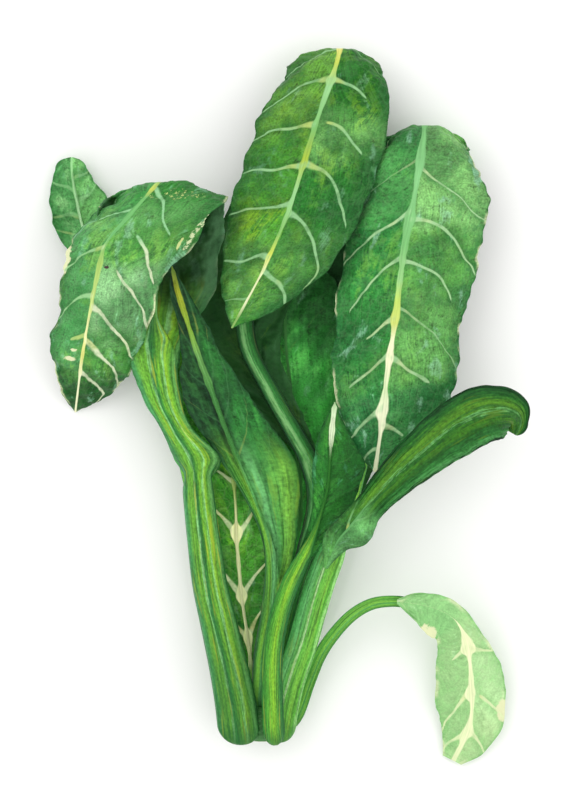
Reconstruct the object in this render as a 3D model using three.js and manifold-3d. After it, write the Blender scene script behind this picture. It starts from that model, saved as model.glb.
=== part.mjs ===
// Perpetual spinach (leaf beet), cut whole at the crown and laid on its back on a flat surface.
// Ten leaves grow from one crown. Each leaf is a ribbed stalk that runs on as the midrib, and a thin blade.
// Three big outer leaves fold over at the top, so that their blades hang back over their own stalks.
// Millimetres, +Z up. While it is built the crown's axis is X = 0, the leaves run towards +Y, and the
// surface that the plant lies on is Z = 0. The group is then moved so that the origin is the middle of
// the bottom of the whole plant's box.
import * as THREE from "three";
import { mergeVertices } from "three/addons/utils/BufferGeometryUtils.js";
import Module from "manifold-3d";

const wasm = await Module();
wasm.setup();

// Driving dimensions
const BLADE_THICKNESS = 1.0;
const GAP = 0.35; // clear space left between pieces that press on each other
const TIP_HALF_WIDTH = 1.5;
const STALK_SIDES = 8;
const STALK_STEPS = 9; // rings from the crown to the start of the blade
const FOOT_SHARE = 0.035; // the share of a stalk over which its foot swells from its rounded end
const FOOT_NARROWING = 0.9;
const MIDRIB_ENDS_BEFORE = 1; // rows of blade left without a midrib at the tip

// The crown lies along Y. Radii are half the width, half the length and half the depth.
const CROWN = {
  middle: new THREE.Vector3(0, -1, 19),
  radii: new THREE.Vector3(9, 10, 10),
  cutAt: -10,
  sides: 16,
  rings: 8,
};

const COLOURS = {
  stalk: 0x6aa844,
  deep: 0x2f7a33,
  bright: 0x4f9a36,
  pale: 0x9bd48c,
  crown: 0xa9c98a,
};

// A station is a place along a leaf's middle line: where it is, how far the blade reaches to each side,
// how many degrees each side curls by its margin (plus is the way the sheet faces), and how far it rolls.
const at = (x, y, z, left = 0, right = 0, curlLeft = 0, curlRight = 0, roll = 0) => ({
  place: new THREE.Vector3(x, y, z),
  reach: new THREE.Vector3(left, right, roll),
  curl: new THREE.Vector3(curlLeft, curlRight, 0),
});

// Stations run from the crown to the tip. bladeFrom is the station where the blade starts. A leaf that
// spreads keeps "left" towards -X all the way; any other keeps it on the left hand of its own course.
// ribSide is the side of the sheet that the stalk stands on. Stalk sizes are [across, deep].
const LEAVES = [
  {
    name: "left_leaf",
    spreads: true,
    ribSide: -1,
    colour: COLOURS.bright,
    stalk: { base: [22, 9], neck: [15, 8], tip: [2, 1.6], neckAt: 0.3 },
    grid: [8, 20],
    bladeFrom: 7,
    stations: [
      at(-10.5, -11, 21),
      at(-13, 9, 23),
      at(-16.5, 28, 25),
      at(-21, 48, 27),
      at(-26, 70, 29),
      at(-29, 92, 30),
      at(-31.5, 113, 31),
      at(-33.5, 132, 31, 9.5, 12.5),
      at(-43, 148, 31, 8, 8),
      at(-50, 163, 31, 9.5, 9.5),
      at(-54, 186, 31, 14, 13),
      at(-54, 212, 31, 18, 28, -10),
      at(-53, 240, 32, 26, 33, -25, -10),
      at(-50, 269.5, 44, 37, 33, -58, -31),
      at(-58, 262, 58, 20, 40, -55, -18, 4),
      at(-67, 252, 60, 23, 39, -50, -15, 6),
      at(-77, 240, 58, 20, 45, -40, -10, 8),
      at(-81, 227, 54, 19.5, 34, -40, -10, 10),
      at(-86, 204, 46, 18.5, 31, -35, -10, 10),
      at(-90, 184, 34, 16.5, 27, -25, -10, 8),
      at(-93, 167, 15, 9, 19, -10, -10, 4),
      at(-95, 156, 0),
    ],
  },
  {
    name: "tall_leaf",
    spreads: true,
    ribSide: -1,
    colour: COLOURS.bright,
    stalk: { base: [9, 7], neck: [11, 7], tip: [2, 1.6], neckAt: 0.23 },
    grid: [8, 24],
    bladeFrom: 5,
    stations: [
      at(4, 5, 10),
      at(8, 30, 12),
      at(15, 60, 15),
      at(23, 88, 17),
      at(28, 112, 18),
      at(24, 131, 18, 4, 4),
      at(16, 146, 18, 9, 8),
      at(5, 165, 17, 14, 11),
      at(-7, 189, 14, 19, 16),
      at(-8, 215, 10, 20, 24),
      at(-2, 245, 4, 21, 30),
      at(9, 275, 0.5, 19, 34, -10, -15),
      at(22, 304, 0.5, 22, 34, -25, -30),
      at(33, 324, 6, 23, 28, -50, -50),
      at(39, 339, 19, 26, 22, -48, -52),
      at(37, 329, 33, 28, 26, -42, -42),
      at(30, 309, 38, 31, 35, -32, -22),
      at(22, 284, 38, 31, 38, -30, -12),
      at(13.5, 257, 39, 30.5, 37, -25, -12),
      at(3, 232, 41, 24, 33.5, -20, -12),
      at(-4, 218, 42, 16, 26, -15, -15),
      at(-10, 207, 42, 8, 17),
      at(-15, 198, 41),
    ],
  },
  {
    name: "right_leaf",
    spreads: true,
    ribSide: -1,
    colour: COLOURS.bright,
    stalk: { base: [9, 7], neck: [8, 6.5], tip: [2, 1.6], neckAt: 0.2 },
    grid: [8, 24],
    bladeFrom: 4,
    stations: [
      at(7, -6, 0.5),
      at(12, 6, 0.5),
      at(22, 35, 0.5),
      at(34, 75, 2),
      at(44, 108, 3, 4, 4),
      at(50, 130, 2.2, 16, 8),
      at(58, 160, 1.2, 29, 17),
      at(66, 195, 0.5, 38, 24),
      at(73, 231, 0.5, 43, 28),
      at(78.5, 261, 0.5, 34, 27),
      at(82, 285, 5, 27, 26, -40, -40),
      at(82, 300, 19, 26, 26, -58, -58),
      at(81, 293, 33, 22, 28, -50, -50),
      at(79, 280, 37, 24, 30, -40, -40),
      at(76, 262, 37, 28, 39, -45, -30),
      at(72, 242, 37, 33, 39, -45, -28),
      at(69, 221, 37, 32, 39, -35, -25),
      at(66.5, 200, 37, 30, 34, -25, -25),
      at(63, 177, 38, 28, 36, -20, -20),
      at(60, 151, 37, 20, 30, -10, -15),
      at(58, 135, 35, 10, 14),
      at(56.5, 126, 34),
    ],
  },
  {
    name: "shaded_leaf",
    spreads: true,
    ribSide: -1,
    colour: COLOURS.deep,
    stalk: { base: [8, 7], neck: [9, 6], tip: [2, 1.6], neckAt: 0.3 },
    grid: [8, 14],
    bladeFrom: 3,
    stations: [
      at(-2, 7, 18),
      at(0, 34, 22),
      at(4, 57, 24),
      at(5, 75, 25, 3, 8),
      at(3, 92, 26, 3, 14),
      at(-3, 110, 28, 4, 22, 5, 10),
      at(-12, 132, 31, 9, 29, 10, 15),
      at(-20, 152, 34, 15, 22, 10, 15),
      at(-25, 166, 35, 15.5, 18, 10, 15),
      at(-31, 182, 36, 9.5, 13, 5, 10),
      at(-37, 200, 37, 5, 9),
      at(-42, 216, 38, 4, 5),
      at(-45, 229, 39),
    ],
  },
  {
    name: "far_left_leaf",
    spreads: false,
    ribSide: -1,
    colour: COLOURS.pale,
    stalk: { base: [6, 5], neck: [4, 3.5], tip: [1.4, 1.2], neckAt: 0.6 },
    grid: [6, 10],
    bladeFrom: 7,
    stations: [
      at(-9, -4, 11),
      at(-14, 10, 9),
      at(-22, 45, 8),
      at(-31, 90, 8),
      at(-41, 135, 8),
      at(-53, 170, 7),
      at(-67, 203, 6),
      at(-79, 224, 6, 3, 3),
      at(-86, 238, 6, 10, 10),
      at(-91, 250, 6, 13.5, 14),
      at(-93.5, 261, 6.5, 14, 15.5),
      at(-95.5, 271, 7, 12, 10.5),
      at(-96.5, 279, 7.5, 8, 7.5),
      at(-96.5, 285, 8),
    ],
  },
  {
    name: "curled_leaf",
    spreads: false,
    ribSide: 1,
    colour: COLOURS.deep,
    stalk: { base: [15, 9], neck: [14, 7], tip: [2, 1.6], neckAt: 0.4 },
    grid: [8, 14],
    bladeFrom: 6,
    stations: [
      at(8.6, -11, 28),
      at(10.5, 4, 30),
      at(14, 20, 32),
      at(20, 38, 34),
      at(25, 56, 37),
      at(30.5, 74, 41),
      at(37, 90, 46, 5, 6),
      at(44, 99, 49, 4, 12),
      at(52, 109, 52, 5, 9),
      at(62, 120, 54, 8, 10, -12, -12),
      at(73, 131, 55, 10, 12.5, -20, -20),
      at(84, 140, 55, 12, 14, -24, -24),
      at(96, 149, 53, 13, 16, -24, -24),
      at(108, 155, 50, 14, 15.5, -24, -24),
      at(119, 157, 45, 12, 14.5, -20, -20),
      at(127, 155, 38, 9, 11, -12, -12),
      at(130, 150.5, 31, 3.5, 11),
      at(128, 144.5, 26, 2.5, 6),
    ],
  },
  {
    name: "low_leaf",
    spreads: false,
    ribSide: 1,
    colour: COLOURS.pale,
    stalk: { base: [7, 6], neck: [5.5, 4.5], tip: [1.6, 1.4], neckAt: 0.48 },
    grid: [6, 12],
    bladeFrom: 8,
    stations: [
      at(13, -5, 17),
      at(18.5, 5, 18),
      at(23, 18, 20),
      at(29, 33, 23),
      at(36.5, 44.5, 26),
      at(45.5, 54, 29),
      at(55, 59.5, 31),
      at(65, 61, 32),
      at(76, 60, 32, 5, 5),
      at(88, 57, 31, 7.5, 11),
      at(97, 51.5, 27.5, 7.5, 13.5),
      at(102.5, 42, 22, 8.5, 14.5),
      at(105, 29, 16.5, 14.5, 17.5),
      at(106, 15, 11.5, 17, 18.5),
      at(106, 2, 8, 16.5, 17),
      at(102.5, -10, 4.8, 13, 12.5),
      at(97, -21, 2.9, 4.5, 6),
    ],
  },
  {
    name: "gap_leaf",
    spreads: false,
    ribSide: -1,
    colour: COLOURS.bright,
    stalk: { base: [6, 5], neck: [4.5, 4], tip: [1.6, 1.4], neckAt: 0.2 },
    grid: [4, 12],
    bladeFrom: 1,
    stations: [
      at(-4, 7, 14),
      at(-5, 22, 16.5, 3, 3),
      at(-7, 41, 18, 6, 6),
      at(-10, 61, 18.5, 9, 12),
      at(-12.5, 88, 19, 11, 15),
      at(-13.5, 111, 19, 13, 12),
      at(-16, 133, 19, 14, 9),
      at(-22, 152, 19, 16, 9),
      at(-30, 170, 19, 18, 9),
      at(-37, 188, 19, 14, 8),
      at(-43, 205, 19),
    ],
  },
  {
    name: "inner_leaf",
    spreads: false,
    ribSide: 1,
    colour: COLOURS.deep,
    stalk: { base: [7, 5], neck: [6, 4.5], tip: [1.6, 1.4], neckAt: 0.37 },
    grid: [6, 9],
    bladeFrom: 4,
    stations: [
      at(0, -3, 5.9),
      at(1, 8, 5.9),
      at(8, 35, 5.9),
      at(15, 70, 5.9),
      at(19, 98, 5.9, 4, 15),
      at(19, 121, 5.9, 9, 16),
      at(16.5, 146, 5.9, 13, 18),
      at(14, 171, 5.9, 16, 18),
      at(12, 192, 5.9, 16, 17.5),
      at(12, 210, 5.5, 15, 18),
      at(15, 228, 4.2, 11, 15),
      at(19, 241, 2.7),
    ],
  },
  {
    name: "heart_leaf",
    spreads: false,
    ribSide: -1,
    colour: COLOURS.bright,
    stalk: { base: [11, 7], neck: [8, 5.5], tip: [1.6, 1.4], neckAt: 0.55 },
    grid: [6, 10],
    bladeFrom: 5,
    stations: [
      at(6.6, -10, 24),
      at(5.5, 5, 30),
      at(5.5, 33, 37),
      at(8.5, 53, 39),
      at(14, 70, 41),
      at(21, 84, 41, 3, 4),
      at(26, 95, 41, 4, 5),
      at(30, 107, 41, 5, 8),
      at(33, 119, 41, 8, 15.5),
      at(34, 132, 41, 8, 17),
      at(35, 146, 41, 6, 8.5),
      at(36.5, 161, 41),
    ],
  },
];

// Geometry along a leaf

// Uniform Catmull-Rom through the stations' vectors of one kind.
const through = (stations, kind) =>
  new THREE.CatmullRomCurve3(stations.map((s) => s[kind]), false, "catmullrom", 0.5);

// A leaf's course: at t from 0 to 1, its middle point and the directions along, across and facing.
function courseOf(leaf) {
  const middle = through(leaf.stations, "place");
  const reach = through(leaf.stations, "reach");
  const curl = through(leaf.stations, "curl");
  return (t) => {
    const point = middle.getPoint(t);
    point.z = Math.max(point.z, BLADE_THICKNESS / 2);
    const along = middle.getTangent(t);
    const across = leaf.spreads
      ? new THREE.Vector3(1, 0, 0)
      : new THREE.Vector3().crossVectors(along, new THREE.Vector3(0, 0, 1)).normalize();
    const sizes = reach.getPoint(t);
    const curls = curl.getPoint(t);
    across.applyAxisAngle(along, THREE.MathUtils.degToRad(sizes.z));
    return {
      point,
      along,
      across,
      facing: new THREE.Vector3().crossVectors(along, across).normalize(),
      reach: [Math.max(sizes.x, TIP_HALF_WIDTH), Math.max(sizes.y, TIP_HALF_WIDTH)],
      curl: [curls.x, curls.y].map(THREE.MathUtils.degToRad),
    };
  };
}

// Moves every vertex of a closed geometry by a rule, and drops what no longer holds for it.
function reshape(geometry, rule) {
  const source = geometry.getAttribute("position");
  const vertex = new THREE.Vector3();
  for (let i = 0; i < source.count; i++) {
    rule(vertex.fromBufferAttribute(source, i));
    source.setXYZ(i, vertex.x, vertex.y, vertex.z);
  }
  geometry.deleteAttribute("normal");
  geometry.deleteAttribute("uv");
  return mergeVertices(geometry, 1e-3);
}

// A point of the blade's middle sheet, v from -1 at the left margin to 1 at the right one. Each side
// bends as an arc of a circle, so that its length from the middle line stays the stated reach.
function sheetPoint(course, v) {
  const side = v < 0 ? 0 : 1;
  const outwards = v < 0 ? -1 : 1;
  const turn = Math.abs(course.curl[side]) < 1e-3 ? 1e-3 : course.curl[side];
  const angle = Math.abs(v) * turn;
  const aside = (outwards * course.reach[side] * Math.sin(angle)) / turn;
  const lift = (course.reach[side] * (1 - Math.cos(angle))) / turn;
  const slope = course.across
    .clone()
    .multiplyScalar(Math.cos(angle))
    .addScaledVector(course.facing, outwards * Math.sin(angle));
  return {
    point: course.point.clone().addScaledVector(course.across, aside).addScaledVector(course.facing, lift),
    normal: new THREE.Vector3().crossVectors(course.along, slope).normalize(),
  };
}

// The share of the course at which the blade starts: each pair of stations has an equal share.
const bladeStart = (leaf) => leaf.bladeFrom / (leaf.stations.length - 1);

// The blade as a thin closed slab that lies flat wherever it meets the surface.
function bladeOf(leaf) {
  const course = courseOf(leaf);
  const slab = new THREE.BoxGeometry(2, 1, 1, leaf.grid[0], leaf.grid[1], 1);
  return reshape(slab, (vertex) => {
    const t = THREE.MathUtils.lerp(bladeStart(leaf), 1, vertex.y + 0.5);
    const { point, normal } = sheetPoint(course(t), vertex.x);
    if (point.z <= BLADE_THICKNESS / 2) {
      point.z = BLADE_THICKNESS / 2;
      normal.set(0, 0, Math.sign(normal.z) || 1);
    }
    vertex.copy(point.addScaledVector(normal, -vertex.z * BLADE_THICKNESS));
    vertex.z = Math.max(vertex.z, 0);
  });
}

// The stalk's size at t: from its base to the neck, where the blade starts, and on to the tip.
function stalkSize(stalk, t) {
  const [from, to, share] =
    t < stalk.neckAt
      ? [stalk.base, stalk.neck, t / stalk.neckAt]
      : [stalk.neck, stalk.tip, (t - stalk.neckAt) / (1 - stalk.neckAt)];
  const foot = THREE.MathUtils.lerp(FOOT_NARROWING, 1, Math.min(t / FOOT_SHARE, 1));
  return from.map((size, axis) => foot * THREE.MathUtils.lerp(size, to[axis], share));
}

// The stalk and midrib: a tapered oval rod that stands on the rib side of the blade's sheet. Its rings
// past the start of the blade match the blade's own rows.
function stalkOf(leaf, grown = 0) {
  const course = courseOf(leaf);
  const rows = leaf.grid[1] - MIDRIB_ENDS_BEFORE;
  const rings = STALK_STEPS + rows;
  const start = bladeStart(leaf);
  const shareAt = (ring) =>
    ring <= STALK_STEPS
      ? (start * ring) / STALK_STEPS
      : start + ((1 - start) * (ring - STALK_STEPS)) / leaf.grid[1];
  const rod = new THREE.CylinderGeometry(1, 1, 1, STALK_SIDES, rings);
  return reshape(rod, (vertex) => {
    const t = shareAt(Math.round((vertex.y + 0.5) * rings));
    const here = course(t);
    const [across, deep] = stalkSize(leaf.stalk, t);
    const middle = leaf.ribSide * (deep / 2 + BLADE_THICKNESS / 2 + GAP);
    const aside = vertex.x * (across / 2 + grown);
    const above = middle - vertex.z * (deep / 2 + grown);
    vertex.copy(here.point.addScaledVector(here.across, aside).addScaledVector(here.facing, above));
  });
}

// The crown: the short rounded stub that every stalk grows from, cut flat across its foot.
function crownOf(grown = 0) {
  const radii = CROWN.radii.clone().addScalar(grown);
  const foot = (CROWN.cutAt - CROWN.middle.y - grown) / radii.y;
  const profile = [new THREE.Vector2(0, Math.max(foot, -1))];
  for (let ring = 0; ring < CROWN.rings; ring++) {
    const angle = THREE.MathUtils.lerp(Math.asin(Math.max(foot, -1)), Math.PI / 2, ring / CROWN.rings);
    profile.push(new THREE.Vector2(Math.cos(angle), Math.sin(angle)));
  }
  profile.push(new THREE.Vector2(0, 1));
  const stub = new THREE.LatheGeometry(profile, CROWN.sides);
  return reshape(stub, (vertex) => vertex.multiply(radii).add(CROWN.middle));
}

// Joins and cuts

const solidOf = (geometry) =>
  new wasm.Manifold(
    new wasm.Mesh({
      numProp: 3,
      vertProperties: new Float32Array(geometry.getAttribute("position").array),
      triVerts: new Uint32Array(geometry.index.array),
    }),
  );

function geometryOf(solid) {
  const { vertProperties, triVerts } = solid.getMesh();
  return new THREE.BufferGeometry()
    .setAttribute("position", new THREE.BufferAttribute(vertProperties, 3))
    .setIndex(new THREE.BufferAttribute(triVerts, 1));
}

// The biggest of the bodies that a cut leaves.
const biggest = (solid) =>
  solid.decompose().reduce((best, body) => (body.volume() > best.volume() ? body : best));

// The plant

const spinach = new THREE.Group();

function addPiece(name, geometry, colour, roughness) {
  const piece = new THREE.Mesh(
    geometry,
    new THREE.MeshStandardMaterial({ color: colour, roughness, metalness: 0 }),
  );
  piece.name = name;
  spinach.add(piece);
}

// Stalks are pressed into each other at the crown: each one is cut back by the crown and by the
// stalks before it.
let taken = solidOf(crownOf(GAP));
addPiece("crown", crownOf(), COLOURS.crown, 0.7);
for (const leaf of LEAVES) {
  const stalk = biggest(solidOf(stalkOf(leaf)).subtract(taken));
  taken = taken.add(solidOf(stalkOf(leaf, GAP)));
  addPiece(leaf.name + "_stalk", geometryOf(stalk), COLOURS.stalk, 0.45);
  addPiece(leaf.name + "_blade", bladeOf(leaf), leaf.colour, 0.4);
}

// The origin goes to the middle of the bottom of the plant's box.
const box = new THREE.Box3().setFromObject(spinach);
const middle = box.getCenter(new THREE.Vector3());
for (const piece of spinach.children) {
  piece.geometry.translate(-middle.x, -middle.y, -box.min.z);
}

export default spinach;
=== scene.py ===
"""Perpetual spinach (leaf beet): a whole cut plant, lying on its back with its crown nearest.

Ten leaves grow from one crown. Each is a ribbed stalk, which runs on as the midrib, and a thin veined blade.
The stations of the leaves are the ones that the solids were made from, apart from a few margins that reach
further, so each piece lies where its solid is. Leaves are worked out in millimetres, with the crown's axis
on X = 0 and the surface at Z = 0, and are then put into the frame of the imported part, in metres.
"""

import logging
import math
from dataclasses import astuple, dataclass
from enum import Enum
from typing import Any, Sequence

import bpy
import numpy as np
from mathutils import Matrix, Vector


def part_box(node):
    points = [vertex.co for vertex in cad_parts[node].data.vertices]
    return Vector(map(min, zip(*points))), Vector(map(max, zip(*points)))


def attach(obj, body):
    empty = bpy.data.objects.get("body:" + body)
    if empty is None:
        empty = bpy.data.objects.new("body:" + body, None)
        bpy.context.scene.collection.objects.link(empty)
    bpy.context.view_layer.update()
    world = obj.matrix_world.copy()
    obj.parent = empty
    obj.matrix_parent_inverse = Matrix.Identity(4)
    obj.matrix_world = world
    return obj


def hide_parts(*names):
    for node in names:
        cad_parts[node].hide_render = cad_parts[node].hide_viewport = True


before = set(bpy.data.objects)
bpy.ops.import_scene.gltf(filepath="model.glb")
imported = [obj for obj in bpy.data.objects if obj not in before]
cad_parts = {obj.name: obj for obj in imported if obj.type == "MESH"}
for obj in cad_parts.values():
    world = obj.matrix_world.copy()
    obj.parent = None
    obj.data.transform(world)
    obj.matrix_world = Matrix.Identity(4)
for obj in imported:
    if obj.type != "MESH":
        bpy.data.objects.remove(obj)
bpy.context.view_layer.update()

log = logging.getLogger("perpetual_spinach")

Array = np.ndarray
Colour = tuple[int, int, int]  # red, green and blue, 0 to 255, as on a paint chart

MM = 0.001
BODY = "root"
COURSE_SAMPLES = 1500
SHEET_THICKNESS = 0.7
STALK_GAP = 0.85  # how much higher a stalk is than its own depth, to reach the middle of its sheet
LOWEST_MIDDLE = 0.4  # the middle of a sheet never comes nearer than this to the surface below
LOWEST_SKIN = 0.05  # and a stalk's skin never nearer than this
NARROWEST = 0.35  # the least reach of a blade
NARROWEST_STALK = 0.5  # and the least half width that a stalk's stripes are measured by
VEIN_SPACING = 24.0
CROWN_TOP = 9.0  # where the crown's upper end lies on the Y of the stations
CREAM = (232, 234, 190)

# How gently things start and stop along a leaf, in millimetres either way
FAN_SOFT = 9.0
SPLAY_SOFT = 14.0
RIB_SOFT = 7.0
WASH_SOFT = 9.0
SEAT_HALF = 2.2  # half the width of the ridge under a midrib


def linear(colour: Colour) -> tuple[float, ...]:
    """Turns a colour into the linear one that a shader takes, 0 to 1 a channel."""
    shares = (channel / 255 for channel in colour)
    return tuple(c / 12.92 if c <= 0.04045 else ((c + 0.055) / 1.055) ** 2.4 for c in shares)


def smooth(low: float | Array, high: float | Array, value: float | Array) -> Array:
    """Rises smoothly from 0 at low to 1 at high.

    Args:
        low: Where the rise starts.
        high: Where it ends.
        value: What is measured.

    Returns:
        The risen share, 0 to 1.
    """
    share = np.clip((np.asarray(value, float) - low) / (high - low), 0, 1)
    return share * share * (3 - 2 * share)


def unit(vectors: Array) -> Array:
    """Brings every row of an array to length 1."""
    return vectors / np.linalg.norm(vectors, axis=-1, keepdims=True)


def column(values: Array) -> Array:
    """Stands a row of numbers up as a column, to multiply rows of vectors."""
    return np.asarray(values)[:, None]


# Leaves


@dataclass(frozen=True)
class Station:
    """A place along a leaf's middle line.

    Reaches are the blade's width to each side, curls are how far each side bends by its margin, in
    degrees towards the way that the sheet faces, and roll turns the sheet about its own course.
    """

    x: float
    y: float
    z: float
    left: float = 0.0
    right: float = 0.0
    curl_left: float = 0.0
    curl_right: float = 0.0
    roll: float = 0.0


def trail(*rows: tuple[float, ...]) -> tuple[Station, ...]:
    """Makes a leaf's stations, from the foot on, out of rows that hold a station's fields in their order."""
    return tuple(Station(*row) for row in rows)


@dataclass(frozen=True)
class Vein:
    """A side vein, from the midrib to the margin."""

    start: float  # where it leaves the midrib, in millimetres from the start of the blade
    rise: float  # how much nearer the tip it is at the margin
    bow: float = 1.2  # 1 runs straight, more leaves the midrib squarely and bends on later
    bold: float = 1.0  # how broad and plain it is
    begins: float = -1.0  # the share of the way to the margin where it is first seen
    ends: float = 1.1  # the share where it is lost
    spot: float = 0.0  # how far it broadens where it ends


def veins(
    first: float, count: int, rise: float, bold: float = 0.6, step: float = VEIN_SPACING
) -> tuple[Vein, ...]:
    """A row of like veins.

    Args:
        first: Where the first one starts.
        count: How many there are.
        rise: Their rise at the margin.
        bold: How plain they are.
        step: The distance from one to the next.

    Returns:
        The veins, from the stalk end on.
    """
    return tuple(Vein(first + step * n, rise, bold=bold) for n in range(count))


@dataclass(frozen=True)
class Leaf:
    """A leaf: its course and sizes in millimetres, its side veins and its finishes.

    A leaf that spreads keeps "left" towards -X all the way, and any other keeps it on the left hand of its
    own course. rib_side is the side of the sheet that the stalk stands on. Stalk sizes are (across, deep).
    """

    name: str
    base: tuple[float, float]  # the stalk's size at its foot
    neck: tuple[float, float]
    tip: tuple[float, float]
    neck_at: float  # the share of the way through the stations where the neck is
    blade_from: int  # the number of the station where the blade starts
    stations: tuple[Station, ...]
    left_veins: tuple[Vein, ...]
    right_veins: tuple[Vein, ...]
    blade_finish: "BladeFinish"
    stalk_finish: "StalkFinish"
    blade_slot: str = "bright_blade"
    spreads: bool = False
    rib_side: int = -1
    step: float = 0.8  # the size of the blade's faces
    fan_from: float = -90.0  # where the stalk's ribs start to spread over the blade
    fan: tuple[float, float] = (0.0, 8.0)  # where they stop, and over how far
    splay: bool = False  # whether the stalk widens to the blade's margins before it melts
    melt: float = 0.0  # over how much of the blade the stalk narrows to the midrib, 0 to keep its own taper
    midrib: tuple[float, float] = (3.0, 1.0)  # the raised midrib's width once it has, and at its end
    rib_width: tuple[float, float] = (1.6, 0.5)  # half the pale midrib's width, at its start and its end
    rib_from: float = 0.0  # where the pale midrib starts to show
    stars: tuple[tuple[float, float, float], ...] = ()  # where it broadens, by how much and over how far
    round_tip: bool = False
    ragged: float = 1.0  # how rough its surface and margin are
    bulge: float = 1.3  # how far the sheet swells between two side veins
    wave: float = 1.6  # how far the margin waves up and down
    ribs: int = 9  # ridges round the stalk
    ridge: float = 0.34  # and how high they are


@dataclass(frozen=True)
class Rows:
    """What a leaf's course gives at a row of places along it."""

    point: Array
    along: Array
    across: Array
    facing: Array
    reach: Array
    curl: Array


class Course:
    """A leaf's middle line, with the directions and sizes of its sheet."""

    def __init__(self, leaf: Leaf) -> None:
        """Measures the middle line.

        Args:
            leaf: The leaf whose stations it follows.
        """
        self.leaf = leaf
        self.table = np.array([astuple(station) for station in leaf.stations], float)
        self.shares = np.linspace(0, 1, COURSE_SAMPLES)
        points, _ = self.through(self.table[:, :3], self.shares)
        pieces = np.linalg.norm(np.diff(points, axis=0), axis=1)
        self.lengths = np.concatenate([[0.0], np.cumsum(pieces)])
        self.blade_at = self.length_to(leaf.blade_from)
        self.before = self.blade_at - self.length_to(leaf.blade_from - 1)
        self.blade_length = float(self.lengths[-1] - self.blade_at)

    def length_to(self, station: int) -> float:
        """Measures the middle line from its foot to a station, in millimetres."""
        return float(np.interp(station / (len(self.table) - 1), self.shares, self.lengths))

    @staticmethod
    def through(values: Array, shares: Array) -> tuple[Array, Array]:
        """Runs a uniform Catmull-Rom curve through rows of values.

        Args:
            values: The values at the stations, one row each.
            shares: Where to read it, 0 to 1, each pair of stations having an equal share.

        Returns:
            The values there, and how fast they change.
        """
        ends = np.vstack([2 * values[0] - values[1], values, 2 * values[-1] - values[-2]])
        places = np.clip(shares, 0, 1) * (len(values) - 1)
        first = np.minimum(places.astype(int), len(values) - 2)
        u = column(places - first)
        a, b, c, d = (ends[first + n] for n in range(4))
        leaving, arriving = (c - a) / 2, (d - b) / 2
        square, cube = 3 * (c - b) - 2 * leaving - arriving, 2 * (b - c) + leaving + arriving
        return b + u * (leaving + u * (square + u * cube)), leaving + u * (2 * square + 3 * u * cube)

    def rows(self, distances: Array) -> Rows:
        """Reads the course.

        Args:
            distances: Millimetres along it, from the start of the blade, less than 0 on the stalk.

        Returns:
            Points, directions, reaches and curls at those places.
        """
        shares = np.interp(distances + self.blade_at, self.lengths, self.shares)
        point, slope = self.through(self.table[:, :3], shares)
        point[:, 2] = np.maximum(point[:, 2], LOWEST_MIDDLE)
        sizes, _ = self.through(self.table[:, 3:], shares)
        along = unit(slope)
        if self.leaf.spreads:
            across = np.tile([1.0, 0.0, 0.0], (len(point), 1))
        else:
            across = unit(np.cross(along, [0.0, 0.0, 1.0]))
        if self.leaf.round_tip:
            sizes[:, :2] = self.rounded_tip(sizes[:, :2], distances)
        roll = column(np.radians(sizes[:, 4]))
        lean = along * column((along * across).sum(1))
        across = across * np.cos(roll) + np.cross(along, across) * np.sin(roll) + lean * (1 - np.cos(roll))
        return Rows(
            point=point,
            along=along,
            across=across,
            facing=unit(np.cross(along, across)),
            reach=np.maximum(sizes[:, :2], NARROWEST),
            curl=np.radians(sizes[:, 2:4]),
        )

    def rounded_tip(self, reach: Array, distances: Array) -> Array:
        """Rounds the tip off.

        Args:
            reach: The reaches as the stations give them.
            distances: Millimetres along the course from the start of the blade.

        Returns:
            The reaches with a round end past the last station but one.
        """
        last = len(self.table) - 2
        begins = self.length_to(last) - self.blade_at
        part = np.clip((distances - begins) / (self.blade_length - begins), 0, 1)
        rounded = self.table[last, 3:5][None, :] * column(np.sqrt(1 - part**2))
        return np.where(column(part > 0), rounded, reach)

    def fanned(self, distances: Array) -> Array:
        """Says how far the stalk's ribs spread over the blade, 0 to 1, at millimetres along it."""
        starts, (ends, over) = self.leaf.fan_from, self.leaf.fan
        started = smooth(starts - FAN_SOFT, starts + FAN_SOFT, distances)
        return started * (1 - smooth(ends, ends + over, distances))

    def splayed(self, distances: Array) -> Array:
        """Says how far the stalk has widened to the blade's margins, 0 to 1, at millimetres along it."""
        ends = self.leaf.fan[0]
        stopped = smooth(ends - SPLAY_SOFT, ends + SPLAY_SOFT, distances)
        return self.leaf.splay * smooth(-15, 3, distances) * (1 - stopped)

    def stalk_size(self, distances: Array) -> tuple[Array, Array]:
        """Gives the stalk's width and depth.

        Args:
            distances: Millimetres along the course from the start of the blade.

        Returns:
            How broad and how deep the stalk or midrib is there.
        """
        shares = np.interp(distances + self.blade_at, self.lengths, self.shares)
        stops = [0.0, self.leaf.neck_at, 1.0]
        sizes = [self.leaf.base, self.leaf.neck, self.leaf.tip]
        broad, deep = (np.interp(shares, stops, [size[axis] for size in sizes]) for axis in (0, 1))
        if self.leaf.melt:
            melted = smooth(-0.35 * self.leaf.melt, 0.65 * self.leaf.melt, distances)
            start, end = self.leaf.midrib
            fine = start + (end - start) * np.clip(distances / self.blade_length, 0, 1)
            broad = broad * (1 - melted) + fine * melted
            deep = deep * (1 - melted) + np.minimum(deep, 0.8 * fine) * melted
        if self.leaf.splay:
            deep = deep * (1 - 0.8 * smooth(-6, 34, distances) * self.splayed(distances))
        return broad, deep


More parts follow.
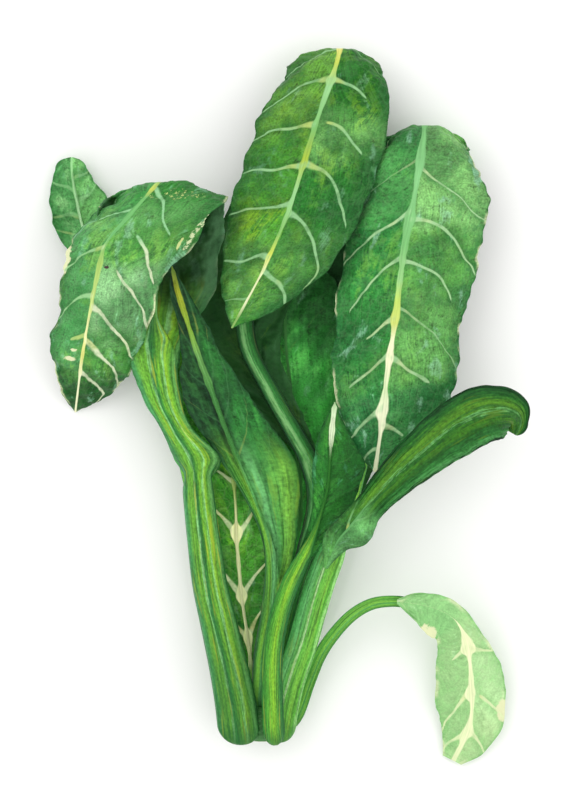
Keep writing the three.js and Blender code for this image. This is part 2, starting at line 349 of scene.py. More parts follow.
class Swell:
    """Smooth, even, random unevenness over a sheet, the same on every run."""

    def __init__(self, seed: int, size: float, waves: int = 12) -> None:
        """Draws the waves that it is the sum of.

        Args:
            seed: Which pattern.
            size: The usual distance from one hump to the next, in millimetres.
            waves: How many waves cross.
        """
        draw = np.random.default_rng(seed)
        heading = draw.uniform(0, 2 * math.pi, waves)
        pace = 2 * math.pi / (size * draw.uniform(0.75, 1.7, waves))
        self.x, self.y = pace * np.cos(heading), pace * np.sin(heading)
        self.late = draw.uniform(0, 2 * math.pi, waves)

    def at(self, x: Array, y: Array | float = 0.0) -> Array:
        """Gives the height of the swell, about -1 to 1, at places on the sheet."""
        waves = np.sin(np.multiply.outer(x, self.x) + np.multiply.outer(y + 0 * x, self.y) + self.late)
        return waves.sum(-1) / math.sqrt(len(self.late) / 2) * 0.6


class Bench:
    """Where pieces are started, finished and put in the frame."""

    shift = np.zeros(3)

    @classmethod
    def settle(cls) -> None:
        """Finds where the crown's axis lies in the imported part."""
        low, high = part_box("crown")
        cls.shift = np.array([(low.x + high.x) / 2 / MM, high.y / MM - CROWN_TOP, 0.0])

    @staticmethod
    def start(name: str) -> bpy.types.Object:
        """Names the primitive that was just added."""
        piece = bpy.context.active_object
        piece.name = name
        piece.data.name = name
        return piece

    @staticmethod
    def clear() -> None:
        """Deselects everything, before a primitive is added."""
        bpy.ops.object.select_all(action="DESELECT")

    @staticmethod
    def vertices(piece: bpy.types.Object) -> Array:
        """Reads a piece's vertices as rows."""
        rows = np.empty(len(piece.data.vertices) * 3)
        piece.data.vertices.foreach_get("co", rows)
        return rows.reshape(-1, 3)

    @classmethod
    def place(cls, piece: bpy.types.Object, rows: Array) -> None:
        """Moves a piece's vertices to rows in millimetres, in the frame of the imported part."""
        piece.data.vertices.foreach_set("co", ((rows + cls.shift) * MM).ravel())
        piece.data.update()

    @staticmethod
    def note(piece: bpy.types.Object, name: str, rows: Array, domain: str = "POINT") -> None:
        """Keeps three numbers a vertex or a corner with a piece.

        Args:
            piece: The piece.
            name: What a finish calls them.
            rows: The numbers.
            domain: POINT or CORNER.
        """
        layer = piece.data.attributes.new(name, "FLOAT_VECTOR", domain)
        layer.data.foreach_set("vector", np.asarray(rows, np.float32).ravel())

    @staticmethod
    def turn_out() -> None:
        """Points all the faces of the closed piece that was just added outwards."""
        bpy.ops.object.mode_set(mode="EDIT")
        bpy.ops.mesh.select_all(action="SELECT")
        bpy.ops.mesh.normals_make_consistent(inside=False)
        bpy.ops.object.mode_set(mode="OBJECT")

    @staticmethod
    def hand_over(piece: bpy.types.Object, node: str, slot: str) -> None:
        """Gives a finished piece to the frame.

        Args:
            piece: The piece.
            node: The solid that it stands for.
            slot: The name of the record's slot for its finish, which is not used.
        """
        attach(piece, BODY)
        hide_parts(node)
        log.info("%s: %d faces, for %s", piece.name, len(piece.data.polygons), node)


@dataclass(frozen=True)
class Grid:
    """Where every vertex of a blade's flat grid lies on its sheet."""

    s: Array  # millimetres along the midrib
    v: Array  # share of the way to the margin, less than 0 on the left
    reach: Array  # millimetres from the midrib to the margin
    halves: list[Array]  # the vein field of both halves
    fan: Array  # how far the stalk's ribs spread over the blade, 0 to 1

    @property
    def share(self) -> Array:
        """The share of the way to the margin on either side."""
        return np.abs(self.v)

    @property
    def away(self) -> Array:
        """Millimetres from the midrib."""
        return self.share * self.reach


@dataclass
class Blade:
    """A leaf's thin veined blade."""

    leaf: Leaf
    seed: int
    margin_size: float = 16.0  # how long the small waves of the outline are
    margin_depth: float = 0.45
    blister_size: float = 8.5
    blister_depth: float = 0.32
    groove_depth: float = 0.55
    groove_half: float = 1.5
    vein_wander: float = 1.1
    comb_depth: float = 0.35
    comb_ribs: float = 4.5  # ridges of the spread stalk, from the midrib to either margin
    crowding: float = 1.08  # over 1, the faces are finer near the midrib
    smooth_angle: float = 62.0

    def __post_init__(self) -> None:
        """Measures the leaf's course."""
        self.course = Course(self.leaf)

    def vein_field(self, side_veins: tuple[Vein, ...], s: Array, share: Array, reach: Array) -> Array:
        """Works out how every place lies between the side veins of one half.

        Args:
            side_veins: The half's veins, from the stalk end on.
            s: Millimetres along the midrib.
            share: The place's share of the way to the margin, 0 to 1.
            reach: How far the margin is there.

        Returns:
            Rows of the count of veins passed, a whole number on each vein, the distance between the
            two nearest veins squarely across them, and how bold the nearest one is.
        """
        first, last = side_veins[0], side_veins[-1]
        listed = [Vein(first.start - VEIN_SPACING * n, first.rise, bold=0.2) for n in (4, 3, 2, 1)]
        listed += side_veins
        listed += [Vein(last.start + VEIN_SPACING * n, last.rise, bold=0.1) for n in (1, 2)]
        numbers = np.array([astuple(vein) for vein in listed], float)
        starts, rises, bows, bolds, begins, ends, spots = numbers.T
        lines = starts[:, None] + rises[:, None] * share[None, :] ** bows[:, None]
        passed = np.clip((lines <= s[None, :]).sum(0) - 1, 0, len(listed) - 2)
        own = np.arange(len(s))
        below, above = lines[passed, own], lines[passed + 1, own]
        part = np.clip((s - below) / np.maximum(above - below, 1.0), 0, 1)
        nearest = np.where(part < 0.5, passed, passed + 1)
        lean = rises[nearest] * bows[nearest] * np.maximum(share, 0.02) ** (bows[nearest] - 1) / reach
        gap = (above - below) / np.sqrt(1 + lean**2)
        bold = bolds[passed] * (1 - part) + bolds[passed + 1] * part
        bold = bold + spots[nearest] * smooth(ends[nearest] - 0.22, ends[nearest] - 0.03, share)
        bold = bold * (1 - smooth(ends[nearest] - 0.06, ends[nearest] + 0.04, share))
        bold = bold * smooth(begins[nearest] - 0.08, begins[nearest] + 0.08, share)
        return np.stack([passed + part, gap, bold], 1)

    def form(self) -> bpy.types.Object:
        """Makes the blade: a fine grid laid on the leaf's sheet, worked over, and given its thickness."""
        leaf, course = self.leaf, self.course
        lead = 0.75 * course.before
        broadest = course.rows(np.linspace(0, course.blade_length, 200)).reach.max(0).sum()
        columns = 2 * math.ceil(broadest / leaf.step / 2)
        along = math.ceil((course.blade_length + lead) / leaf.step)
        Bench.clear()
        bpy.ops.mesh.primitive_grid_add(x_subdivisions=columns, y_subdivisions=along, size=2)
        piece = Bench.start(leaf.name + "_lamina")
        flat = Bench.vertices(piece)
        v = np.sign(flat[:, 0]) * np.abs(flat[:, 0]) ** self.crowding
        s = -lead + (flat[:, 1] + 1) / 2 * (course.blade_length + lead)
        rows = course.rows(s)
        right = v >= 0
        own = np.arange(len(v))
        share = np.abs(v)
        reach = rows.reach[own, right.astype(int)]
        wander = self.vein_wander * Swell(self.seed + 700, 19).at(v * reach, s * 0.4)
        wander = wander * smooth(0.0, 0.25, share)
        halves = [
            self.vein_field(side_veins, s + wander, share, np.maximum(reach, 4.0))
            for side_veins in (leaf.left_veins, leaf.right_veins)
        ]
        reach = self.outline(reach, s, right, [self.edge_phase(half) for half in (0, 1)])
        point, normal = self.sheet(rows, v, reach)
        grid = Grid(s, v, reach, halves, course.fanned(s))
        point = point + normal * column(self.relief(grid) * leaf.rib_side)
        point[:, 2] = np.maximum(point[:, 2], LOWEST_MIDDLE)
        Bench.place(piece, point)
        self.keep_notes(piece, flat, grid)
        self.thicken(piece)
        return piece

    def edge_phase(self, half: int) -> Array:
        """Gives, for every millimetre of one margin, the count of veins passed."""
        leaf = self.leaf
        s = np.arange(-60.0, self.course.blade_length + 60.0)
        side_veins = (leaf.left_veins, leaf.right_veins)[half]
        return np.stack([s, self.vein_field(side_veins, s, np.ones_like(s), np.full_like(s, 20.0))[:, 0]])

    def outline(self, reach: Array, s: Array, right: Array, phases: list[Array]) -> Array:
        """Works the margin over: it swells a little between the ends of the veins, and wavers.

        Args:
            reach: How far the plain margin is at every vertex.
            s: Millimetres along the midrib.
            right: Whether the vertex is on the right half.
            phases: For both margins, millimetres along and the count of veins passed.

        Returns:
            How far the worked margin is.
        """
        result = reach.copy()
        broad = smooth(3, 12, reach)
        for half, side in enumerate((~right, right)):
            passed = np.interp(s[side], *phases[half])
            scallop = np.sin(math.pi * passed) ** 2 - 0.5
            waver = Swell(self.seed * 10 + half, self.margin_size).at(s[side])
            fine = Swell(self.seed * 10 + 5 + half, self.margin_size * 0.35).at(s[side])
            change = self.margin_depth * self.leaf.ragged * (0.9 * scallop + waver + 0.5 * fine)
            result[side] += change * broad[side]
        return np.maximum(result, NARROWEST)

    @staticmethod
    def sheet(rows: Rows, v: Array, reach: Array) -> tuple[Array, Array]:
        """Bends each half of the sheet as an arc.

        Args:
            rows: The course at every vertex.
            v: The share of the way to the margin, less than 0 on the left.
            reach: How far the margin is, measured on the sheet.

        Returns:
            The points of the middle of the sheet, and its normals, on the way that it faces.
        """
        own = np.arange(len(v))
        turn = rows.curl[own, (v >= 0).astype(int)]
        turn = np.where(np.abs(turn) < 1e-3, 1e-3, turn)
        outwards = np.where(v < 0, -1.0, 1.0)
        angle = np.abs(v) * turn
        aside = outwards * reach * np.sin(angle) / turn
        lift = reach * (1 - np.cos(angle)) / turn
        slope = rows.across * column(np.cos(angle)) + rows.facing * column(outwards * np.sin(angle))
        point = rows.point + rows.across * column(aside) + rows.facing * column(lift)
        return point, unit(np.cross(rows.along, slope))

    def relief(self, grid: Grid) -> Array:
        """Works the sheet over: sunk veins, panels that swell between them, blisters and a waving margin.

        Args:
            grid: Where the vertices lie.

        Returns:
            How far each place is moved towards the side that the midrib stands on, in millimetres.
        """
        leaf, s, v, reach, share, away = self.leaf, grid.s, grid.v, grid.reach, grid.share, grid.away
        broad, _ = self.course.stalk_size(s)
        free = smooth(0.42 * broad, 0.42 * broad + 3.5, away)
        field = np.where(column(v < 0), *grid.halves)
        between = np.sin(math.pi * field[:, 0]) ** 2
        off = np.abs((field[:, 0] + 0.5) % 1 - 0.5) * field[:, 1]
        thin = 1 - 0.6 * share
        groove = self.groove_depth * field[:, 2] * thin * np.exp(-((off / (self.groove_half * thin)) ** 2))
        room = np.clip(field[:, 1] / 14, 0.3, 1.3) * smooth(2, 10, reach)
        panel = leaf.bulge * room * between * smooth(0.03, 0.3, share) * (1 - 0.65 * smooth(0.7, 1, share))
        blister = Swell(self.seed + 100, self.blister_size).at(v * reach, s)
        pucker = Swell(self.seed + 200, self.blister_size * 0.42).at(v * reach, s)
        rough = self.blister_depth * leaf.ragged * (blister + 0.45 * pucker) * smooth(0, 5, reach)
        wave = Swell(self.seed + 300, 34).at(s + 400 * (v > 0))
        ripple = Swell(self.seed + 400, 13).at(s + 400 * (v > 0))
        edge = leaf.wave * (wave + 0.35 * ripple) * share**3 * smooth(4, 16, reach)
        midrib = 0.5 * smooth(0, 6, s) * np.exp(-((away / SEAT_HALF) ** 2)) * free
        plain = 1 - 0.85 * grid.fan
        drift = 0.8 * Swell(self.seed + 800, 60).at(s)
        comb = self.comb_depth * grid.fan * np.cos(2 * math.pi * self.comb_ribs * v + drift)
        return (groove - panel + rough + edge) * free * plain + midrib + comb * free

    def keep_notes(self, piece: bpy.types.Object, flat: Array, grid: Grid) -> None:
        """Keeps with the blade what its finish follows.

        Args:
            piece: The blade, before it has its thickness.
            flat: Its vertices as they were added.
            grid: Where they lie.
        """
        corners = np.empty(len(piece.data.loops), int)
        piece.data.loops.foreach_get("vertex_index", corners)
        centres = flat[corners, 0].reshape(-1, 4).mean(1)
        left = np.repeat(centres < 0, 4)
        field = np.where(column(left), *(half[corners] for half in grid.halves))
        start, end = self.leaf.rib_width
        width = start + (end - start) * np.clip(grid.s / self.course.blade_length, 0, 1) ** 0.8
        width = width * (1 + 0.28 * Swell(self.seed + 500, 24).at(grid.s))
        for place, more, over in self.leaf.stars:
            width = width + more * np.exp(-(((grid.s - place) / over) ** 2))
        width = width * smooth(self.leaf.rib_from - RIB_SOFT, self.leaf.rib_from + RIB_SOFT, grid.s)
        Bench.note(piece, "sheet", np.stack([np.sign(grid.v) * grid.away, grid.s, grid.v], 1))
        Bench.note(piece, "veins", field, "CORNER")
        Bench.note(piece, "zones", np.stack([grid.fan, grid.reach - grid.away, width], 1))

    def thicken(self, piece: bpy.types.Object) -> None:
        """Gives the sheet its thickness, and a finish of its own to each face."""
        sides = [self.leaf.blade_finish.material(self.seed, side) for side in Side]
        for material in sides[:: self.leaf.rib_side]:  # the grid's own faces look against "facing"
            piece.data.materials.append(material)
        solid = piece.modifiers.new("thickness", "SOLIDIFY")
        solid.thickness = SHEET_THICKNESS * MM
        solid.offset = 0
        solid.use_rim = True
        solid.material_offset = 1
        solid.material_offset_rim = 0
        bpy.context.view_layer.objects.active = piece
        bpy.ops.object.modifier_apply(modifier=solid.name)
        bpy.ops.object.select_all(action="DESELECT")
        piece.select_set(True)
        bpy.ops.object.shade_smooth_by_angle(angle=math.radians(self.smooth_angle))


@dataclass
class Stalk:
    """A leaf's ribbed stalk, which runs on as its midrib."""

    leaf: Leaf
    seed: int
    ends_before: float = 7.0  # how far from the blade's tip the midrib ends
    ring_step: float = 1.9
    least_sides: int = 16
    finer: float = 1.8  # how many more sides there are for every millimetre across and deep
    squareness: float = 2.7
    foot_round: float = 10.0
    crowd: float = 0.06  # the share of the rings that rounds each end
    channel: float = 0.45  # how far the side that faces the heart of the plant is hollowed
    splay_share: float = 0.97  # how near its blade's margin a widened stalk comes
    smooth_angle: float = 60.0

    def __post_init__(self) -> None:
        """Measures the leaf's course."""
        self.course = Course(self.leaf)

    def form(self) -> bpy.types.Object:
        """Makes the stalk from a ball that is drawn out along the leaf's course."""
        leaf, course = self.leaf, self.course
        first = -course.blade_at
        length = course.blade_length - self.ends_before - first
        sides = self.least_sides + 8 * math.ceil(sum(leaf.base) * self.finer / 8)
        rings = math.ceil(length / self.ring_step)
        Bench.clear()
        bpy.ops.mesh.primitive_uv_sphere_add(segments=sides, ring_count=rings, radius=1)
        piece = Bench.start(leaf.name + "_petiole")
        ball = Bench.vertices(piece)
        share = np.arcsin(np.clip(ball[:, 2], -1, 1)) / math.pi + 0.5
        turn = np.arctan2(ball[:, 1], ball[:, 0])
        s = first + self.spaced(share, length)
        rows = course.rows(s)
        broad, deep = course.stalk_size(s)
        ends = self.rounded(s - first, length)
        fan = course.fanned(s)
        on_blade = smooth(-course.before * 0.7, 0, s)
        aside, above = self.section(turn, s, broad, deep, on_blade)
        middle = (deep + STALK_GAP) / 2
        above = middle + (above - middle) * ends
        side = (aside >= 0).astype(int)
        reach = rows.reach[np.arange(len(s)), side]
        margins = course.splayed(s)
        half = np.maximum(broad / 2, NARROWEST_STALK)
        aside = aside * ends * (1 - margins + margins * self.splay_share * reach / half)
        point = rows.point + rows.across * column(aside) + rows.facing * column(above * leaf.rib_side)
        point[:, 2] = np.maximum(point[:, 2], LOWEST_SKIN)
        Bench.place(piece, point)
        plain = aside / half
        spread = aside / np.maximum(reach, broad / 2)
        across = plain * (1 - on_blade * fan) + spread * on_blade * fan
        Bench.note(piece, "skin", np.stack([across, s - first, np.sin(turn)], 1))
        Bench.note(piece, "run", np.stack([s, self.melted(s) * (1 - fan), self.pale(s) * (1 - fan)], 1))
        Bench.turn_out()
        piece.data.materials.append(leaf.stalk_finish.material(self.seed, leaf.blade_finish))
        bpy.ops.object.shade_smooth_by_angle(angle=math.radians(self.smooth_angle))
        return piece

    def melted(self, s: Array) -> Array:
        """Says how far the stalk has become its blade's fine midrib, 0 to 1."""
        melt = self.leaf.melt
        return smooth(-0.2 * melt, 0.7 * melt, s) if melt else np.zeros_like(s)

    def pale(self, s: Array) -> Array:
        """Says where the midrib shows pale on its blade, 0 to 1."""
        starts = self.leaf.rib_from
        return self.melted(s) * smooth(starts - RIB_SOFT, starts + RIB_SOFT, s)

    def spaced(self, share: Array, length: float) -> Array:
        """Spaces the rings, closer together at both round ends.

        Args:
            share: The ring's share of the way from the foot.
            length: The stalk's length.

        Returns:
            Millimetres from the foot.
        """
        crowd = self.crowd
        head = self.foot_round * (1 - np.cos(math.pi / 2 * np.clip(share / crowd, 0, 1)))
        middle = (length - 2 * self.foot_round) * np.clip((share - crowd) / (1 - 2 * crowd), 0, 1)
        tail = self.foot_round * np.sin(math.pi / 2 * np.clip((share - 1 + crowd) / crowd, 0, 1))
        return head + middle + tail

    def rounded(self, distance: Array, length: float) -> Array:
        """Narrows the stalk to nothing at its round foot and its fine end."""
        foot = np.clip(distance / self.foot_round, 0, 1)
        end = np.clip((length - distance) / self.foot_round, 0, 1)
        return np.sqrt(1 - (1 - foot) ** 2) * np.sqrt(1 - (1 - end) ** 2)

    def section(
        self, turn: Array, s: Array, broad: Array, deep: Array, on_blade: Array
    ) -> tuple[Array, Array]:
        """Shapes the stalk's section: ribbed on the outside, hollowed on the inside, flat on the blade.

        Args:
            turn: The angle round the section.
            s: Millimetres along, from the start of the blade.
            broad: The stalk's width.
            deep: Its depth.
            on_blade: 1 where the stalk lies on its blade.

        Returns:
            Millimetres aside of the course, and above its sheet.
        """
        leaf = self.leaf
        power = 2 / self.squareness
        cosine, sine = np.cos(turn), np.sin(turn)
        half = (deep + STALK_GAP) / 2
        aside = broad / 2 * np.sign(cosine) * np.abs(cosine) ** power
        above = half * np.sign(sine) * np.abs(sine) ** power
        size = np.clip(broad / 12, 0.12, 1)
        drift = 0.5 * Swell(self.seed + 600, 70).at(s)
        ridges = np.cos(leaf.ribs * (turn + math.pi / 2) + drift)
        fine = np.cos(3 * leaf.ribs * turn + 2.1 * drift)
        outer = smooth(-0.5, 0.2, sine)
        comb = leaf.ridge * size * (ridges + 0.22 * fine) * (0.45 + 0.55 * outer)
        comb = comb * (1 - 0.8 * on_blade * (1 - outer))
        aside = aside + comb * cosine
        above = above + comb * sine
        inside = np.clip(-sine, 0, 1)
        hollow = self.channel * deep * inside * (1 - on_blade) * smooth(4, 18, s + self.course.blade_at)
        above = above + hollow
        seat = 0.15 + 0.5 * np.exp(-((aside / SEAT_HALF) ** 2)) * smooth(0, 6, s)
        floor = seat - half
        above = np.where(sine < 0, above * (1 - on_blade) + np.maximum(above, floor) * on_blade, above)
        return aside, above + half


@dataclass
class Crown:
    """The short stub that all the stalks grow from, cut flat across its foot."""

    centre: tuple[float, float, float] = (0.0, -1.0, 19.0)
    radii: tuple[float, float, float] = (9.0, 10.0, 10.0)
    cut_at: float = -10.0
    ring_depth: float = 0.25
    ring_size: float = 1.7
    scar_depth: float = 0.35
    scars: int = 7
    sides: int = 72
    rings: int = 90
    smooth_angle: float = 50.0

    def form(self, finish: "CrownFinish") -> bpy.types.Object:
        """Makes the crown from a ball whose foot is pressed flat at the cut.

        Args:
            finish: What it is dressed in.

        Returns:
            The crown.
        """
        Bench.clear()
        bpy.ops.mesh.primitive_uv_sphere_add(
            segments=self.sides, ring_count=self.rings, radius=1, rotation=(math.pi / 2, 0, 0)
        )
        piece = Bench.start("crown_stub")
        bpy.ops.object.transform_apply(location=False, rotation=True, scale=False)
        ball = Bench.vertices(piece)
        rows = ball * np.array(self.radii) + np.array(self.centre)
        turn = np.arctan2(ball[:, 2], ball[:, 0])
        out = np.hypot(ball[:, 0], ball[:, 2])
        scars = self.scar_depth * np.sin(self.scars * turn + 2.4 * rows[:, 1])
        scars = scars * smooth(-9, -6, rows[:, 1]) * out
        rows[:, 0] += scars * np.cos(turn)
        rows[:, 2] += scars * np.sin(turn)
        cut = rows[:, 1] < self.cut_at
        away = np.hypot(rows[:, 0] - self.centre[0], rows[:, 2] - self.centre[2])
        rings = self.ring_depth * 0.5 * (np.cos(2 * math.pi * away / self.ring_size) - 1)
        rows[cut, 1] = self.cut_at - rings[cut]
        Bench.place(piece, rows)
        Bench.note(piece, "stub", np.stack([away, rows[:, 1], turn], 1))
        Bench.turn_out()
        piece.data.materials.append(finish.material())
        bpy.ops.object.shade_smooth_by_angle(angle=math.radians(self.smooth_angle))
        return piece


# Shader maths


class Value:
    """A socket that takes part in sums written as plain Python."""

    def __init__(self, graph: "Graph", socket: bpy.types.NodeSocket) -> None:
        """Wraps a node's output."""
        self.graph = graph
        self.socket = socket

    def __add__(self, other: "Term") -> "Value":
        """Adds."""
        return self.graph.maths("ADD", self, other)

    __radd__ = __add__

    def __sub__(self, other: "Term") -> "Value":
        """Takes away."""
        return self.graph.maths("SUBTRACT", self, other)

    def __rsub__(self, other: "Term") -> "Value":
        """Is taken away from a number."""
        return self.graph.maths("SUBTRACT", other, self)

    def __mul__(self, other: "Term") -> "Value":
        """Multiplies."""
        return self.graph.maths("MULTIPLY", self, other)

    __rmul__ = __mul__

    def __truediv__(self, other: "Term") -> "Value":
        """Divides."""
        return self.graph.maths("DIVIDE", self, other)

    def __abs__(self) -> "Value":
        """Drops the sign."""
        return self.graph.maths("ABSOLUTE", self)


Term = Value | float
COAT_ROUGHNESS = 0.28


class Graph:
    """One material's nodes."""

    def __init__(self, name: str) -> None:
        """Starts an empty material.

        Args:
            name: The material's name.
        """
        self.material = bpy.data.materials.new(name)
        self.material.use_nodes = True
        self.tree = self.material.node_tree
        self.tree.nodes.clear()

    def node(
        self, kind: str, settings: dict[str, Any] | None = None, inputs: dict[str, Any] | None = None
    ) -> bpy.types.Node:
        """Adds a node of any kind.

        Args:
            kind: The node's type, without the "ShaderNode" in front.
            settings: What it is set to. "stops" are a ramp's places and colours.
            inputs: Numbers, colours or links for its sockets, by identifier or name.

        Returns:
            The node.
        """
        node = self.tree.nodes.new("ShaderNode" + kind)
        for name, value in (settings or {}).items():
            if name == "stops":
                self.set_stops(node.color_ramp, value)
            else:
                setattr(node, name, value)
        for name, value in (inputs or {}).items():
            socket = next((s for s in node.inputs if s.identifier == name), None) or node.inputs[name]
            if isinstance(value, Value):
                self.tree.links.new(value.socket, socket)
            elif socket.type == "RGBA":
                socket.default_value = (*linear(value), 1.0)
            else:
                socket.default_value = value
        return node

    @staticmethod
    def set_stops(ramp: bpy.types.ColorRamp, stops: Sequence[tuple[float, Colour]]) -> None:
        """Sets a ramp's stops, in order."""
        while len(ramp.elements) < len(stops):
            ramp.elements.new(1.0)
        for element, (place, colour) in zip(ramp.elements, stops):
            element.position = place
            element.color = (*linear(colour), 1.0)

    def out(self, node: bpy.types.Node, name: str | int = 0) -> Value:
        """Takes a node's output by name or number."""
        return Value(self, node.outputs[name])

    def maths(self, operation: str, *terms: Term) -> Value:
        """Adds a Math node."""
        names = ("Value", "Value_001", "Value_002")
        return self.out(self.node("Math", {"operation": operation}, dict(zip(names, terms))))

    def smooth(self, low: Term, high: Term, value: Term) -> Value:
        """Rises smoothly from 0 at low to 1 at high."""
        inputs = {"Value": value, "From Min": low, "From Max": high}
        return self.out(self.node("MapRange", {"interpolation_type": "SMOOTHSTEP"}, inputs))

    def attribute(self, name: str) -> list[Value]:
        """Reads the three numbers that a piece keeps under a name."""
        node = self.node("Attribute", {"attribute_name": name, "attribute_type": "GEOMETRY"})
        parts = self.node("SeparateXYZ", None, {"Vector": self.out(node, "Vector")})
        return [self.out(parts, axis) for axis in range(3)]

    def combine(self, x: Term, y: Term, z: Term) -> Value:
        """Makes a place out of three numbers."""
        return self.out(self.node("CombineXYZ", None, {"X": x, "Y": y, "Z": z}))

    def noise(self, place: Value, size: float, detail: float = 2.0, rough: float = 0.5) -> Value:
        """Makes a cloudy pattern.

        Args:
            place: Where it is read.
            size: The size of its clouds, in the units of the place.
            detail: How many finer layers it has.
            rough: How strong those are.

        Returns:
            The pattern, about 0.5 on the average.
        """
        inputs = {"Vector": place, "Scale": 1 / size, "Detail": detail, "Roughness": rough}
        return self.out(self.node("TexNoise", None, inputs), "Fac")

    def cell_edge(self, place: Value, size: float) -> Value:
        """Gives the distance to the nearest edge of a net of cells, as a share of a cell."""
        inputs = {"Vector": place, "Scale": 1 / size, "Randomness": 0.9}
        return self.out(self.node("TexVoronoi", {"feature": "DISTANCE_TO_EDGE"}, inputs), "Distance")

    def mix(self, share: Term, one: Value | Colour, other: Value | Colour) -> Value:
        """Mixes two colours.

        Args:
            share: How much of the other.
            one: The first colour.
            other: The other colour.

        Returns:
            The mixed colour.
        """
        inputs = {"Factor_Float": share, "A_Color": one, "B_Color": other}
        node = self.node("Mix", {"data_type": "RGBA", "clamp_factor": True}, inputs)
        return Value(self, next(s for s in node.outputs if s.identifier == "Result_Color"))

    def lit(self, colour: Value, strength: Term) -> Value:
        """Makes a colour lighter or darker by a factor."""
        inputs = {"Vector": colour, "Scale": strength}
        return self.out(self.node("VectorMath", {"operation": "SCALE"}, inputs))

    def finish(
        self, colour: Value, roughness: Term, height: Term, gloss: float = 0.0, specular: float = 0.4
    ) -> bpy.types.Material:
        """Ends the material in its shader.

        Args:
            colour: The colour all over.
            roughness: How matt it is.
            height: The fine relief, in millimetres.
            gloss: The share of a clear waxy coat.
            specular: How strongly it mirrors.

        Returns:
            The material.
        """
        bump = self.node("Bump", None, {"Strength": 1.0, "Distance": MM, "Height": height})
        inputs = {
            "Base Color": colour,
            "Roughness": roughness,
            "Normal": self.out(bump, "Normal"),
            "Coat Weight": gloss,
            "Coat Roughness": COAT_ROUGHNESS,
            "Specular IOR Level": specular,
        }
        shader = self.node("BsdfPrincipled", None, inputs)
        self.node("OutputMaterial", None, {"Surface": self.out(shader, "BSDF")})
        return self.material


# Finishes


class Side(Enum):
    """The two sides of a blade."""

    UPPER = "upper"
    UNDER = "under"


class Strokes(Enum):
    """Which way the fine streaks of a blade run."""

    OUTWARD = "outward"
    ALONG = "along"


